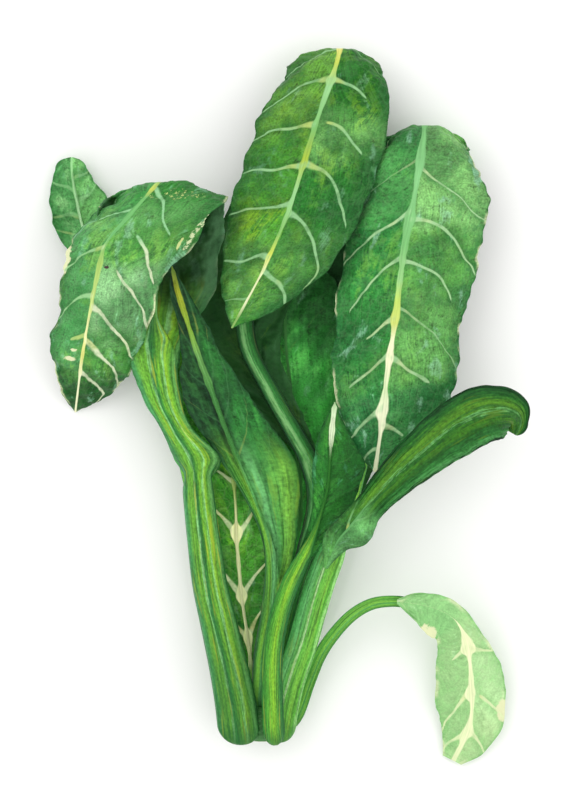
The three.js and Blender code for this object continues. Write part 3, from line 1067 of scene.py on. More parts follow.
@dataclass(frozen=True)
class StalkFinish:
    """The striped skin of a stalk: bands of colour that run along its ribs, with fine streaks in them.
    Painted light goes in too: highlights in the palest bands, and shade at the sides, in the furrows, on the
    side towards the blade and at the foot.
    """

    name: str
    bands: tuple[tuple[float, Colour], ...]  # places across from -1 at the left to 1 at the right
    streak: float = 0.6
    drift: float = 0.16
    fray: float = 0.2  # how ragged the sides of the bands are
    yellow_flush_and_highlight: Colour = (176, 190, 62)  # a yellowish flush in broken lines, partly the stalk's own colour and partly painted highlight
    yellow_flush_and_highlight_share: float = 0.4
    glint: float = 0.0  # how strong the painted highlight is: a broken pale line left of the middle
    glint_tone: Colour = (158, 208, 158)
    shade: Colour = (30, 92, 38)  # painted shade: deep green in the furrows, on the side towards the blade and at the foot
    foot: float = 0.0  # painted shade: how much deeper the green is painted towards the foot
    rise: float = 0.0  # painted light: how much lighter it is painted over the blade, where it lies in shade

    def stripes(
        self, graph: Graph, across: Value, along: Value, s: Value, seed: float
    ) -> tuple[Value, Value]:
        """Paints the stripes.

        Args:
            graph: The material's nodes.
            across: The place across, -1 to 1.
            along: Millimetres along.
            s: Millimetres from the start of the blade.
            seed: Which pattern.

        Returns:
            The colour, and the height of the fine ribs in millimetres.
        """
        slow = graph.noise(graph.combine(across * 2.2, along / 38, seed), 1.0, 2.0) - 0.5
        lines = graph.noise(graph.combine(across * 8, along / 40, seed + 3.1), 1.0, 3.0, 0.6)
        fine = graph.noise(graph.combine(across * 17, along / 9, seed + 7.7), 1.0, 3.0, 0.6)
        grain = graph.noise(graph.combine(across * 11, along / 1.6, seed + 1.3), 1.0, 2.0, 0.6)
        place = across + slow * (2 * self.drift) + (fine - 0.5) * (2 * self.fray)
        stops = [((where + 1) / 2, tone) for where, tone in self.bands]
        ramp = graph.node("ValToRGB", {"stops": stops}, {"Fac": place * 0.5 + 0.5})
        tone = graph.out(ramp, "Color")
        # Painted shade in the furrows between the ribs.
        furrow = graph.smooth(0.5, 0.36, lines) * 0.5
        tone = graph.mix(furrow, tone, self.shade)
        strength = 1 + (lines - 0.5) * (1.3 * self.streak) + (fine - 0.5) + (grain - 0.5) * 1.5
        tone = graph.lit(tone, strength)
        # A yellowish flush in broken lines: partly the stalk's colour, partly painted highlight.
        flush = graph.noise(graph.combine(across * 6, along / 30, seed + 11.9), 1.0, 2.0)
        tone = graph.mix(graph.smooth(0.58, 0.7, flush) * self.yellow_flush_and_highlight_share, tone, self.yellow_flush_and_highlight)
        # Painted highlight: a broken pale line on the lit side, left of the middle.
        if self.glint:
            patch = graph.noise(graph.combine(across * 5, along / 10, seed + 21.3), 1.0, 3.0, 0.6)
            lit_side = 1 - graph.smooth(0.15, 0.5, abs(across + 0.28))
            tone = graph.mix(graph.smooth(0.42, 0.58, patch) * lit_side * self.glint, tone, self.glint_tone)
        # Painted light: lighter over the blade, against the shade that falls there.
        if self.rise:
            tone = graph.lit(tone, 1 + graph.smooth(-10.0, 30.0, s) * self.rise)
        return tone, lines * 0.4 + fine * 0.2 + grain * 0.05

    def material(self, seed: int, blade: "BladeFinish") -> bpy.types.Material:
        """Makes the stalk's material.

        Args:
            seed: Which pattern.
            blade: The finish of the stalk's blade, which the midrib turns into.

        Returns:
            The material.
        """
        graph = Graph(f"{self.name}_{seed}")
        across, along, side = graph.attribute("skin")
        s, melted, pale = graph.attribute("run")
        tone, height = self.stripes(graph, across, along, s, float(seed))
        # Painted shade: deeper green on the side towards the blade and at the foot, and for some stalks
        # further up towards the foot.
        inner = graph.smooth(0.15, -0.35, side)
        tone = graph.mix(inner * 0.4, tone, self.shade)
        low = 1 - graph.smooth(2.0, 16.0, along + (height - 0.3) * 30)
        tone = graph.mix(low * 0.7, tone, self.shade)
        if self.foot:
            tone = graph.mix((1 - graph.smooth(20.0, 110.0, along)) * self.foot, tone, self.shade)
        tone = graph.mix(melted * 0.95, tone, blade.right)
        tone = graph.mix(pale, tone, blade.rib_tone(graph, across * 1.4, s, 0.0, seed))
        return graph.finish(tone, 0.45 + (height - 0.3) * 0.3, height, gloss=0.03, specular=0.16)


@dataclass(frozen=True)
class Wash:
    """A part of a blade that is tinted."""

    start: float  # millimetres from the start of the blade
    end: float
    half: int  # -1 for the left half, 1 for the right one, 0 for both
    tone: Colour
    share: float = 0.6


@dataclass(frozen=True)
class Fleck:
    """A small worn or pale mark on a blade."""

    along: float  # its middle, in millimetres along the midrib
    away: float  # and from it, less than 0 on the left
    length: float  # half of it, along the midrib
    width: float
    tone: Colour = (214, 218, 172)
    dry: float = 0.0  # 0 paints all of it, and above about 0.4 only specks of it are seen


class Spot:
    """What a blade's finish knows at every point of the blade.

    away and along are millimetres from and along the midrib, and out is away without its sign. share is the
    way to the margin, and rim is that without its sign. passed counts the veins up to there, gap is the
    distance between the nearest two, and bold is how plain the nearest is. fan says how far the stalk's ribs
    spread, edge is the distance to the margin, and rib is half the midrib's width. wander is a slow
    unevenness, about 0 on the average.
    """

    def __init__(self, graph: Graph, seed: int) -> None:
        """Reads what the blade keeps.

        Args:
            graph: The material's nodes.
            seed: Which pattern.
        """
        self.graph, self.seed = graph, seed
        self.away, self.along, self.share = graph.attribute("sheet")
        self.passed, self.gap, self.bold = graph.attribute("veins")
        self.fan, self.edge, self.rib = graph.attribute("zones")
        self.out = abs(self.away)
        self.rim = abs(self.share)
        self.place = graph.combine(self.away, self.along, seed * 37.0)
        self.wander = graph.noise(self.place, 8.0, 2.0) - 0.5


@dataclass(frozen=True)
class BladeFinish:
    """The skin of a blade: two halves of unlike green, with fresh and deep patches, and pale veins. Painted
    light goes in too: shade beside the veins and the midrib, pale sheen patches that are painted
    reflections, and a dark underside on the folded leaves.
    """

    name: str
    left: Colour
    right: Colour
    rib: tuple[tuple[float, Colour], ...]  # the midrib's colour at millimetres from the start of the blade
    fresh: Colour = (112, 158, 50)
    deep: Colour = (30, 88, 36)
    sheen: Colour = (140, 184, 158)
    vein: Colour = (150, 200, 140)
    vein_left: Colour | None = None  # the left half's veins, where they differ
    vein_first: tuple[float, Colour] | None = None  # how far the first veins' colour reaches, and which
    accent: Colour = (208, 204, 84)
    hem: Colour = (206, 216, 168)
    # On the folded leaves the underside's colour is dark: painted shade in the fold, lighter by the margin.
    under: Colour = (30, 74, 34)
    under_margin: Colour = (38, 84, 40)
    fresh_share: float = 0.6
    deep_share: float = 0.65
    sheen_share: float = 0.2
    sheen_from: float = 0.6  # the lower, the more of it
    margin_share: float = 0.7  # how plain the dark line at the margin is
    rim_deep: float = 0.0  # how much deeper the green is near the margin
    hem_share: float = 0.0
    hem_width: float = 1.5
    under_share: float = 0.85
    vein_half: float = 0.95
    vein_share: float = 0.9
    accent_share: float = 0.6
    junction: float = 0.7
    net: float = 0.05
    texture: float = 1.0  # how strong the small clouds and grain are
    groove: float = 0.0  # painted shadow: how much darker it is close beside the raised midrib
    rib_shadow_tone: Colour = (16, 44, 26)
    strokes: Strokes = Strokes.OUTWARD
    washes: tuple[Wash, ...] = ()
    flecks: tuple[Fleck, ...] = ()
    fan: StalkFinish | None = None
    gloss: float = 0.02

    def material(self, seed: int, side: Side) -> bpy.types.Material:
        """Makes the material of one side.

        Args:
            seed: Which pattern.
            side: The side of the blade.

        Returns:
            The material.
        """
        graph = Graph(f"{self.name}_{side.value}")
        spot = Spot(graph, seed)
        off = abs(graph.maths("FRACT", spot.passed + 0.5) - 0.5) * spot.gap
        off = abs(off + spot.wander * 0.9)
        vein, vein_shade = self.vein_masks(spot, off)
        star = (1 - graph.smooth(0.0, 4.0, off)) * (1 - graph.smooth(0.0, 7.0, spot.out)) * spot.bold
        half = spot.rib * (1 + spot.wander * 0.9 + star * self.junction)
        middle = 1 - graph.smooth(half * 0.72, half * 1.1 + 0.05, spot.out)
        lamina, lumps = self.lamina(spot, vein_shade)
        net, fine_net = self.net_masks(spot)
        lamina = graph.mix(net * self.net, lamina, self.vein)
        # The underside of a folded leaf is painted dark, as the shade in the fold.
        if side is Side.UNDER:
            rim = graph.smooth(0.7, 0.86, spot.rim + spot.wander * 0.3)
            margin = graph.mix(rim, self.under, self.under_margin)
            lamina = graph.mix(self.under_share, lamina, graph.lit(margin, 0.55 + lumps * 2.4))
            vein = vein * max(0.0, 1 - 1.2 * self.under_share)
            middle = middle * max(0.0, 1 - 1.1 * self.under_share)
        tone = graph.mix(vein, lamina, self.vein_tone(spot))
        tone = graph.mix(middle, tone, self.rib_tone(graph, spot.away, spot.along, star, seed))
        height = lumps - net * 0.03 - fine_net * 0.02 + (vein + middle) * 0.05
        if self.fan is not None:
            stripes, ribs = self.fan.stripes(graph, spot.share, spot.along, spot.along, float(seed))
            tone = graph.mix(spot.fan, tone, stripes)
            height = height + ribs * spot.fan
        if side is Side.UNDER:
            height = 0 - height
        roughness = 0.42 + lumps * 0.35 + (0.12 if side is Side.UNDER else 0.0)
        return graph.finish(tone, roughness, height, gloss=self.gloss, specular=0.14)

    def vein_masks(self, spot: Spot, off: Value) -> tuple[Value, Value]:
        """Draws the side veins, and the painted shade in the sunk band beside them.

        Args:
            spot: What is known at every point.
            off: Millimetres from the nearest vein.

        Returns:
            1 on a vein, and 1 in the painted shade close beside one.
        """
        graph = spot.graph
        flare = 1 - graph.smooth(0.0, 9.0, spot.out)
        half = (self.vein_half + flare * 0.6) * (1.2 - 0.65 * spot.rim)
        half = half * (0.3 + 0.7 * spot.bold) * (1 + spot.wander * 1.8)
        worn = graph.smooth(0.34, 0.56, graph.noise(spot.place, 5.0, 3.0, 0.6))
        seen = graph.smooth(0.12, 0.45, spot.bold)
        seen = seen * (1 - graph.smooth(0.95, 1.02, spot.rim + spot.wander * 0.1))
        vein = 1 - graph.smooth(half * 0.45, half * 1.25, off)
        vein = vein * seen * (0.6 + worn * 0.4) * self.vein_share
        # The band beside a vein, where shade is painted.
        vein_shade = (1 - graph.smooth(half, half + 3.4, off)) * seen
        return vein, vein_shade

    def lamina(self, spot: Spot, vein_shade: Value) -> tuple[Value, Value]:
        """Clouds the green between the veins.

        Args:
            spot: What is known at every point.
            vein_shade: 1 close beside a vein.

        Returns:
            The colour, and the height of the fine lumps in millimetres.
        """
        graph, away, along, seed = spot.graph, spot.away, spot.along, spot.seed
        broad = graph.noise(spot.place, 26.0, 3.0, 0.55)
        cloud_place = graph.combine(away + 90.0, spot.rim * 12, spot.passed * 16 + seed)
        cloud = graph.noise(cloud_place, 15.0, 3.0, 0.6)
        brush = self.brush(spot)
        mottle = graph.noise(spot.place, 3.2, 3.0, 0.6)
        grain = graph.noise(spot.place, 0.9, 2.0, 0.6)
        side = graph.smooth(-0.08, 0.08, spot.share)
        tone = graph.mix(side, self.left, self.right)
        stir = (mottle - 0.5) * 0.45 + (brush - 0.5) * 0.35
        tone = graph.mix(graph.smooth(0.48, 0.64, cloud + stir) * self.fresh_share, tone, self.fresh)
        for wash in self.washes:
            ragged = along + (broad - 0.5) * 40
            reached = graph.smooth(wash.start - WASH_SOFT, wash.start + WASH_SOFT, ragged)
            ended = graph.smooth(wash.end - WASH_SOFT, wash.end + WASH_SOFT, ragged)
            half = {-1: 1 - side, 0: 1.0, 1: side}[wash.half]
            tone = graph.mix(reached * (1 - ended) * half * wash.share, tone, wash.tone)
        dark = graph.smooth(0.47, 0.66, broad + stir + graph.smooth(0.5, 1.0, spot.rim) * 0.1)
        tone = graph.mix(dark * self.deep_share, tone, self.deep)
        if self.rim_deep:
            shaded = graph.smooth(0.76, 0.96, spot.rim + (mottle - 0.5) * 0.5)
            tone = graph.mix(shaded * self.rim_deep, tone, self.deep)
        # Painted shade: deeper green in the sunk band beside each vein.
        tone = graph.mix(vein_shade * 0.38, tone, self.deep)
        # Painted shadow close beside the raised midrib.
        if self.groove:
            tone = graph.mix((1 - graph.smooth(1.0, 4.5, abs(away))) * self.groove, tone, self.rib_shadow_tone)
        border = 1 - graph.smooth(0.2, 1.5, spot.edge + (mottle - 0.5) * 2)
        tone = graph.mix(border * self.margin_share, tone, self.deep)
        shine = graph.noise(graph.combine(away, spot.rim * 30, spot.passed * 20 + seed + 40.0), 12.0, 3.0)
        shine = graph.smooth(self.sheen_from, self.sheen_from + 0.12, shine + stir * 0.5)
        tone = graph.mix(shine * self.sheen_share, tone, self.sheen)
        if self.hem_share:
            bare = graph.noise(graph.combine(along / 24, spot.share, seed + 60.0), 1.0, 2.0)
            bare = graph.smooth(0.5, 0.56, bare)
            hem = 1 - graph.smooth(0.3, self.hem_width, spot.edge + (mottle - 0.5) * 2.5)
            tone = graph.mix(hem * bare * self.hem_share, tone, self.hem)
        stir = (brush - 0.5) * 1.7 + (mottle - 0.5) * 1.6 + (grain - 0.5) * 1.5
        tone = graph.lit(tone, 1 + stir * self.texture)
        for fleck in self.flecks:
            far, wide = (along - fleck.along) / fleck.length, (away - fleck.away) / fleck.width
            mark = 1 - graph.smooth(0.7, 1.3, far * far + wide * wide + (mottle - 0.5) * 3.0)
            if fleck.dry:
                specks = graph.noise(spot.place, 1.7, 3.0, 0.7)
                mark = mark * graph.smooth(fleck.dry, fleck.dry + 0.06, specks)
            tone = graph.mix(mark, tone, fleck.tone)
        return tone, mottle * 0.22 + brush * 0.12 + grain * 0.05

    def brush(self, spot: Spot) -> Value:
        """Streaks the green, outwards beside the veins or along the blade."""
        across, along = spot.passed * spot.gap / 2.6, spot.away / 22
        if self.strokes is Strokes.ALONG:
            across, along = spot.away / 2.2, spot.along / 34
        return spot.graph.noise(spot.graph.combine(across, along, spot.seed + 0.7), 1.0, 3.0, 0.6)

    @staticmethod
    def net_masks(spot: Spot) -> tuple[Value, Value]:
        """Draws the net of small veins: 1 on one of them, and 1 on one of the finest."""
        graph = spot.graph
        stir = graph.node("TexNoise", None, {"Vector": spot.place, "Scale": 0.3, "Detail": 1.0})
        inputs = {
            "Vector": graph.out(stir, "Color"), "Vector_001": (3.0, 3.0, 0.0), "Vector_002": spot.place,
        }
        moved = graph.out(graph.node("VectorMath", {"operation": "MULTIPLY_ADD"}, inputs))
        net = 1 - graph.smooth(0.02, 0.11, graph.cell_edge(moved, 6.2))
        fine = 1 - graph.smooth(0.03, 0.14, graph.cell_edge(moved, 2.1))
        return net, fine

    def vein_tone(self, spot: Spot) -> Value:
        """Colours the side veins, which are yellower here and there by the midrib."""
        graph = spot.graph
        flush = graph.noise(graph.combine(spot.out / 16, spot.along / 24, spot.seed + 5.0), 1.0, 1.0)
        near = 1 - graph.smooth(2.0, 16.0, spot.out)
        flushed = graph.smooth(0.52, 0.62, flush) * (0.2 + 0.8 * near) * self.accent_share
        tone = graph.mix(graph.smooth(-0.03, 0.03, spot.share), self.vein_left or self.vein, self.vein)
        tone = graph.mix(flushed, tone, self.accent)
        if self.vein_first:
            ends, young = self.vein_first
            tone = graph.mix(graph.smooth(ends + 6, ends - 6, spot.along), tone, young)
        return tone

    def rib_tone(self, graph: Graph, away: Value, along: Value, star: Term, seed: int) -> Value:
        """Colours the midrib: by its place along the blade, streaked, and pale where veins meet it.

        Args:
            graph: The material's nodes.
            away: Millimetres from the midrib.
            along: Millimetres along it.
            star: 1 where a vein meets it.
            seed: Which pattern.

        Returns:
            The colour.
        """
        first, last = self.rib[0][0], self.rib[-1][0]
        stops = [((place - first) / (last - first), tone) for place, tone in self.rib]
        along_share = (along - first) / (last - first)
        ramp = graph.node("ValToRGB", {"stops": stops}, {"Fac": along_share})
        tone = graph.mix(graph.smooth(0.4, 1.2, star) * 0.5, graph.out(ramp, "Color"), self.vein)
        streak = graph.noise(graph.combine(away * 1.3, along / 18, seed + 9.0), 1.0, 3.0)
        return graph.lit(tone, 1 + (streak - 0.5) * 0.8)


@dataclass(frozen=True)
class CrownFinish:
    """Pale flesh, ringed on the cut face and greener round the sides."""

    flesh: Colour = (214, 220, 176)
    ring: Colour = (168, 186, 118)
    skin: Colour = (50, 112, 44)
    skin_deep: Colour = (26, 78, 32)
    dried: Colour = (164, 142, 96)

    def material(self) -> bpy.types.Material:
        """Makes the crown's material."""
        graph = Graph("crown_flesh")
        away, length, turn = graph.attribute("stub")
        place = graph.combine(away, length, turn * 6)
        cloud = graph.noise(place, 2.2, 3.0)
        rings = graph.maths("SINE", (away + cloud * 0.8) * 3.7) * 0.5 + 0.5
        face = graph.mix(rings * 0.7, self.flesh, self.ring)
        face = graph.mix(graph.smooth(0.52, 0.7, cloud) * 0.5, face, self.dried)
        lines = graph.noise(graph.combine(turn * 9, length / 9, 4.0), 1.0, 3.0)
        skin = graph.mix(graph.smooth(0.45, 0.7, lines) * 0.4, self.skin, self.skin_deep)
        tone = graph.mix(graph.smooth(-10.0, -9.8, length), face, skin)
        return graph.finish(tone, 0.6 + (cloud - 0.5) * 0.2, lines * 0.2 + rings * 0.06)


# The leaves' finishes

# Bands across the stalks, from -1 at the left to 1 at the right: the stalks' own stripes, with painted light
# in them. The narrow palest bands are painted highlights, and the dark bands at both sides painted shade.
GREEN_BANDS = (
    (-1.0, (65, 152, 80)), (-0.7, (129, 207, 74)), (-0.3, (91, 181, 69)), (0.05, (158, 230, 85)),
    (0.3, (99, 186, 96)), (0.6, (140, 213, 74)), (1.0, (58, 139, 69)),
)
OUTER_BANDS = (
    (-1.0, (78, 149, 92)), (-0.8, (64, 134, 70)), (-0.62, (102, 163, 53)), (-0.34, (91, 153, 44)),
    (-0.25, (128, 190, 120)), (-0.17, (40, 108, 51)), (-0.02, (57, 126, 44)), (0.12, (108, 167, 44)),
    (0.26, (91, 155, 53)), (0.34, (135, 196, 120)), (0.42, (126, 173, 41)), (0.62, (84, 147, 43)),
    (0.82, (89, 147, 74)), (1.0, (34, 99, 43)),
)
FRONT_BANDS = (
    (-1.0, (62, 149, 62)), (-0.8, (94, 187, 98)), (-0.5, (122, 206, 118)), (-0.24, (107, 196, 82)),
    (-0.1, (206, 248, 176)), (0.0, (113, 202, 76)), (0.25, (128, 209, 74)), (0.5, (146, 219, 76)),
    (0.78, (107, 198, 64)), (0.9, (187, 248, 150)), (1.0, (133, 215, 110)),
)
HEART_BANDS = (
    (-1.0, (39, 112, 44)), (-0.55, (70, 145, 44)), (-0.2, (98, 168, 46)), (0.05, (129, 184, 44)),
    (0.3, (102, 164, 46)), (0.65, (53, 124, 51)), (1.0, (25, 87, 38)),
)
SHADED_BANDS = (
    (-1.0, (42, 80, 54)), (-0.85, (49, 109, 52)), (-0.5, (96, 167, 56)), (-0.2, (117, 179, 58)),
    (0.0, (77, 147, 72)), (0.2, (101, 170, 102)), (0.45, (75, 147, 67)), (0.75, (119, 181, 65)),
    (1.0, (42, 104, 43)),
)
BEHIND_BANDS = (
    (-1.0, (18, 52, 28)), (-0.82, (30, 84, 38)), (-0.55, (58, 128, 60)), (-0.25, (96, 164, 88)),
    (0.05, (62, 136, 62)), (0.35, (44, 116, 46)), (0.7, (30, 88, 36)), (0.88, (18, 56, 28)),
    (1.0, (14, 44, 24)),
)
TROUGH_BANDS = (
    (-1.0, (12, 52, 21)), (-0.86, (22, 78, 29)), (-0.6, (40, 103, 32)), (-0.34, (78, 130, 32)),
    (-0.1, (65, 119, 31)), (-0.03, (97, 159, 88)), (0.05, (31, 89, 27)), (0.3, (57, 113, 25)),
    (0.55, (27, 83, 27)), (0.8, (46, 113, 47)), (0.92, (71, 136, 72)), (1.0, (10, 46, 19)),
)

PLAIN_STALK = StalkFinish("plain_stalk", GREEN_BANDS)
OUTER_STALK = StalkFinish(
    "outer_stalk", OUTER_BANDS, streak=0.5, drift=0.12, fray=0.15, yellow_flush_and_highlight=(176, 186, 48), yellow_flush_and_highlight_share=0.5,
    foot=0.45, rise=0.12,
)
FRONT_STALK = StalkFinish("front_stalk", FRONT_BANDS, drift=0.14, fray=0.16)
HEART_STALK = StalkFinish("heart_stalk", HEART_BANDS, drift=0.2, fray=0.22)
SHADED_STALK = StalkFinish("shaded_stalk", SHADED_BANDS, drift=0.14, fray=0.14, yellow_flush_and_highlight=(130, 176, 58))
BEHIND_STALK = StalkFinish(
    "behind_stalk", BEHIND_BANDS, streak=1.0, drift=0.14, fray=0.16, yellow_flush_and_highlight_share=0.1, glint=0.6,
    glint_tone=(140, 196, 124),
)
TROUGH = StalkFinish(
    "trough", TROUGH_BANDS, streak=0.4, drift=0.16, fray=0.3, yellow_flush_and_highlight=(96, 132, 34), yellow_flush_and_highlight_share=0.5
)


TALL_BLADE = BladeFinish(
    "tall_blade", left=(72, 143, 41), right=(40, 115, 32), fresh=(122, 164, 34), deep=(26, 84, 34),
    rib=(
        (228, CREAM), (238, (214, 212, 112)), (248, (186, 202, 84)), (262, (146, 198, 134)),
        (284, (118, 178, 100)), (300, (158, 184, 62)), (318, (146, 198, 134)), (340, (132, 188, 100)),
        (351, (190, 204, 84)), (362, (222, 228, 172)), (378, (220, 226, 180)), (387, (130, 170, 90)),
    ),
    vein=(146, 196, 138), accent=(196, 200, 76), fresh_share=0.75, rim_deep=0.4, deep_share=0.75,
    washes=(
        Wash(232, 290, -1, (104, 150, 58), 0.5), Wash(228, 272, 1, (28, 98, 26), 0.8),
        Wash(278, 300, 1, (118, 180, 96), 0.7), Wash(304, 342, 1, (34, 110, 36), 0.75),
        Wash(294, 322, -1, (62, 132, 34), 0.5), Wash(340, 386, 1, (84, 148, 66), 0.6),
        Wash(345, 386, -1, (104, 158, 76), 0.6),
    ),
)
RIGHT_BLADE = BladeFinish(
    "right_blade", left=(47, 130, 54), right=(89, 159, 72), fresh=(110, 162, 58), fresh_share=0.45,
    rim_deep=0.45, deep=(26, 90, 42), sheen=(138, 186, 156),
    rib=(
        (203, (110, 176, 104)), (240, (128, 190, 124)), (274, (116, 180, 108)), (292, (146, 198, 126)),
        (302, (182, 210, 100)), (314, (200, 212, 112)), (322, CREAM), (334, (230, 232, 190)),
        (348, (204, 222, 172)), (358, (232, 236, 198)), (386, (224, 230, 190)),
    ),
    vein=(164, 206, 150), accent=(226, 222, 160), accent_share=0.4, sheen_share=0.45, sheen_from=0.6,
    hem_share=0.7,
    washes=(
        Wash(212, 266, 1, (130, 190, 110), 0.8), Wash(200, 262, -1, (84, 148, 80), 0.4),
        Wash(300, 342, 1, (98, 158, 84), 0.5), Wash(342, 392, 0, (42, 116, 60), 0.82),
        Wash(300, 345, -1, (44, 116, 48), 0.5),
    ),
)
# Its underside, seen in the hollow of the fold, is painted near black as shade.
LEFT_BLADE = BladeFinish(
    "left_blade", left=(82, 154, 85), right=(75, 145, 62), fresh=(112, 166, 66), deep=(28, 96, 38),
    rib=(
        (144, (120, 184, 112)), (157, (188, 200, 88)), (164, (110, 176, 100)), (190, (108, 176, 106)),
        (205, (160, 194, 100)), (228, (186, 206, 122)), (240, (226, 224, 160)), (256, (214, 216, 120)),
        (272, CREAM), (298, CREAM),
    ),
    vein=(216, 226, 188), vein_left=(150, 200, 138), vein_first=(194, (150, 206, 150)),
    accent=(190, 200, 92), sheen=(132, 184, 152), sheen_share=0.4, rim_deep=0.3, sheen_from=0.58, net=0.02,
    hem_share=0.75, under=(12, 46, 15), under_margin=(66, 106, 70),
    washes=(
        Wash(112, 170, 1, (30, 110, 34), 0.8), Wash(166, 186, 0, (118, 180, 112), 0.3),
        Wash(144, 172, -1, (40, 126, 44), 0.6), Wash(204, 246, 1, (144, 198, 136), 0.85),
        Wash(228, 300, -1, (46, 132, 60), 0.2), Wash(266, 330, 0, (14, 74, 20), 0.95),
    ),
    flecks=(
        Fleck(258, -6.4, 1.6, 3.0), Fleck(252.6, -4.6, 0.9, 1.5), Fleck(206, -19.8, 9, 3.0),
        Fleck(206.8, 3.8, 0.6, 1.1, (60, 44, 44)), Fleck(194, 36.5, 3.2, 0.9, (190, 202, 130)),
        Fleck(184, 40.2, 13, 1.8, (196, 208, 160), 0.48), Fleck(162, 12, 4, 15, (176, 194, 116), 0.56),
    ),
    fan=OUTER_STALK,
)
# Painted shade: the leaf lies in shade, so its left half is near black, the upper part of its right half
# darker, and a dark band runs beside its midrib.
SHADED_BLADE = BladeFinish(
    "shaded_blade", left=(24, 64, 29), right=(42, 115, 46), fresh=(70, 146, 60), deep=(24, 64, 34),
    fresh_share=0.35, sheen=(78, 112, 84), under_share=0.0, vein=(72, 128, 74), vein_share=0.35,
    rib=(
        (0, (74, 138, 54)), (60, (64, 128, 60)), (96, (76, 142, 70)), (116, (118, 176, 94)),
        (130, (150, 196, 72)), (150, (190, 200, 60)), (160, (120, 150, 60)),
    ),
    fan=SHADED_STALK, groove=0.75, vein_half=0.5, strokes=Strokes.ALONG,
    washes=(Wash(126, 180, 1, (26, 66, 32), 0.8),),
)
FAR_BLADE = BladeFinish(
    "far_blade", left=(90, 164, 90), right=(119, 190, 107), fresh=(149, 211, 135), deep=(48, 120, 57),
    fresh_share=0.7, deep_share=0.8, under_share=0.0,
    rib=((0, (159, 216, 140)), (30, (192, 240, 180)), (60, (157, 218, 147))), vein=(159, 218, 149),
    vein_share=0.45, junction=0.3,
)
CURLED_BLADE = BladeFinish(
    "curled_blade", left=(44, 110, 33), right=(46, 112, 32), fresh=(86, 136, 33), deep=(20, 68, 30),
    rib=((0, (84, 148, 82)), (60, (120, 180, 112)), (130, (136, 190, 126))), vein=(120, 178, 112),
    vein_half=0.5, under=(46, 108, 48), margin_share=0.3,
    washes=(Wash(-30, 26, 1, (108, 178, 100), 0.92), Wash(-30, 10, -1, (100, 176, 84), 0.85)), fan=TROUGH,
)
LOW_BLADE = BladeFinish(
    "low_blade", left=(163, 201, 138), right=(149, 194, 128), fresh=(180, 211, 150), deep=(119, 176, 105),
    sheen=(176, 216, 168), fresh_share=0.5, deep_share=0.5,
    rib=((20, (226, 232, 184)), (100, (218, 228, 178))), vein=(216, 228, 176), accent=(230, 222, 160),
    hem=(232, 232, 190), hem_share=0.5, hem_width=2.6, sheen_share=0.2, junction=1.3, vein_half=0.8,
    vein_share=0.85, net=0.02, texture=0.4, under=(150, 200, 130), under_margin=(140, 194, 120),
    washes=(Wash(-20, 26, 0, (122, 186, 112), 0.7), Wash(40, 72, -1, (172, 216, 152), 0.6)),
    flecks=(Fleck(13, 13.8, 7.5, 5), Fleck(74.5, -15.5, 4, 3.4)),
)
GAP_BLADE = BladeFinish(
    "gap_blade", left=(67, 151, 44), right=(79, 162, 51), fresh=(113, 181, 46), deep=(24, 93, 32),
    fresh_share=0.75, under_share=0.0,
    rib=(
        (0, (236, 244, 178)), (45, (244, 250, 190)), (80, (246, 248, 184)), (95, (190, 220, 120)),
        (125, (120, 170, 80)),
    ),
    vein=(226, 240, 186), accent=(216, 208, 120), junction=1.1, vein_half=0.7,
)
# Painted shade: the wash darkens the part that lies under the tall leaf's folded blade.
INNER_BLADE = BladeFinish(
    "inner_blade", left=(57, 164, 57), right=(64, 173, 65), fresh=(97, 195, 86), deep=(23, 78, 33),
    vein=(60, 128, 62), vein_share=0.2, rib=((0, (62, 128, 58)), (140, (62, 128, 58))), deep_share=0.45,
    strokes=Strokes.ALONG, washes=(Wash(95, 160, 0, (24, 66, 30), 0.75),),
)
HEART_BLADE = BladeFinish(
    "heart_blade", left=(36, 110, 36), right=(38, 110, 35), fresh=(71, 152, 50), deep=(17, 72, 25),
    fresh_share=0.4, sheen=(70, 140, 96), sheen_share=0.4, under_share=0.0,
    rib=((40, (190, 214, 168)), (52, (218, 234, 192)), (70, (226, 240, 202)), (80, (150, 190, 130))),
    vein=(70, 130, 70), vein_share=0.4, accent=(120, 160, 90),
)


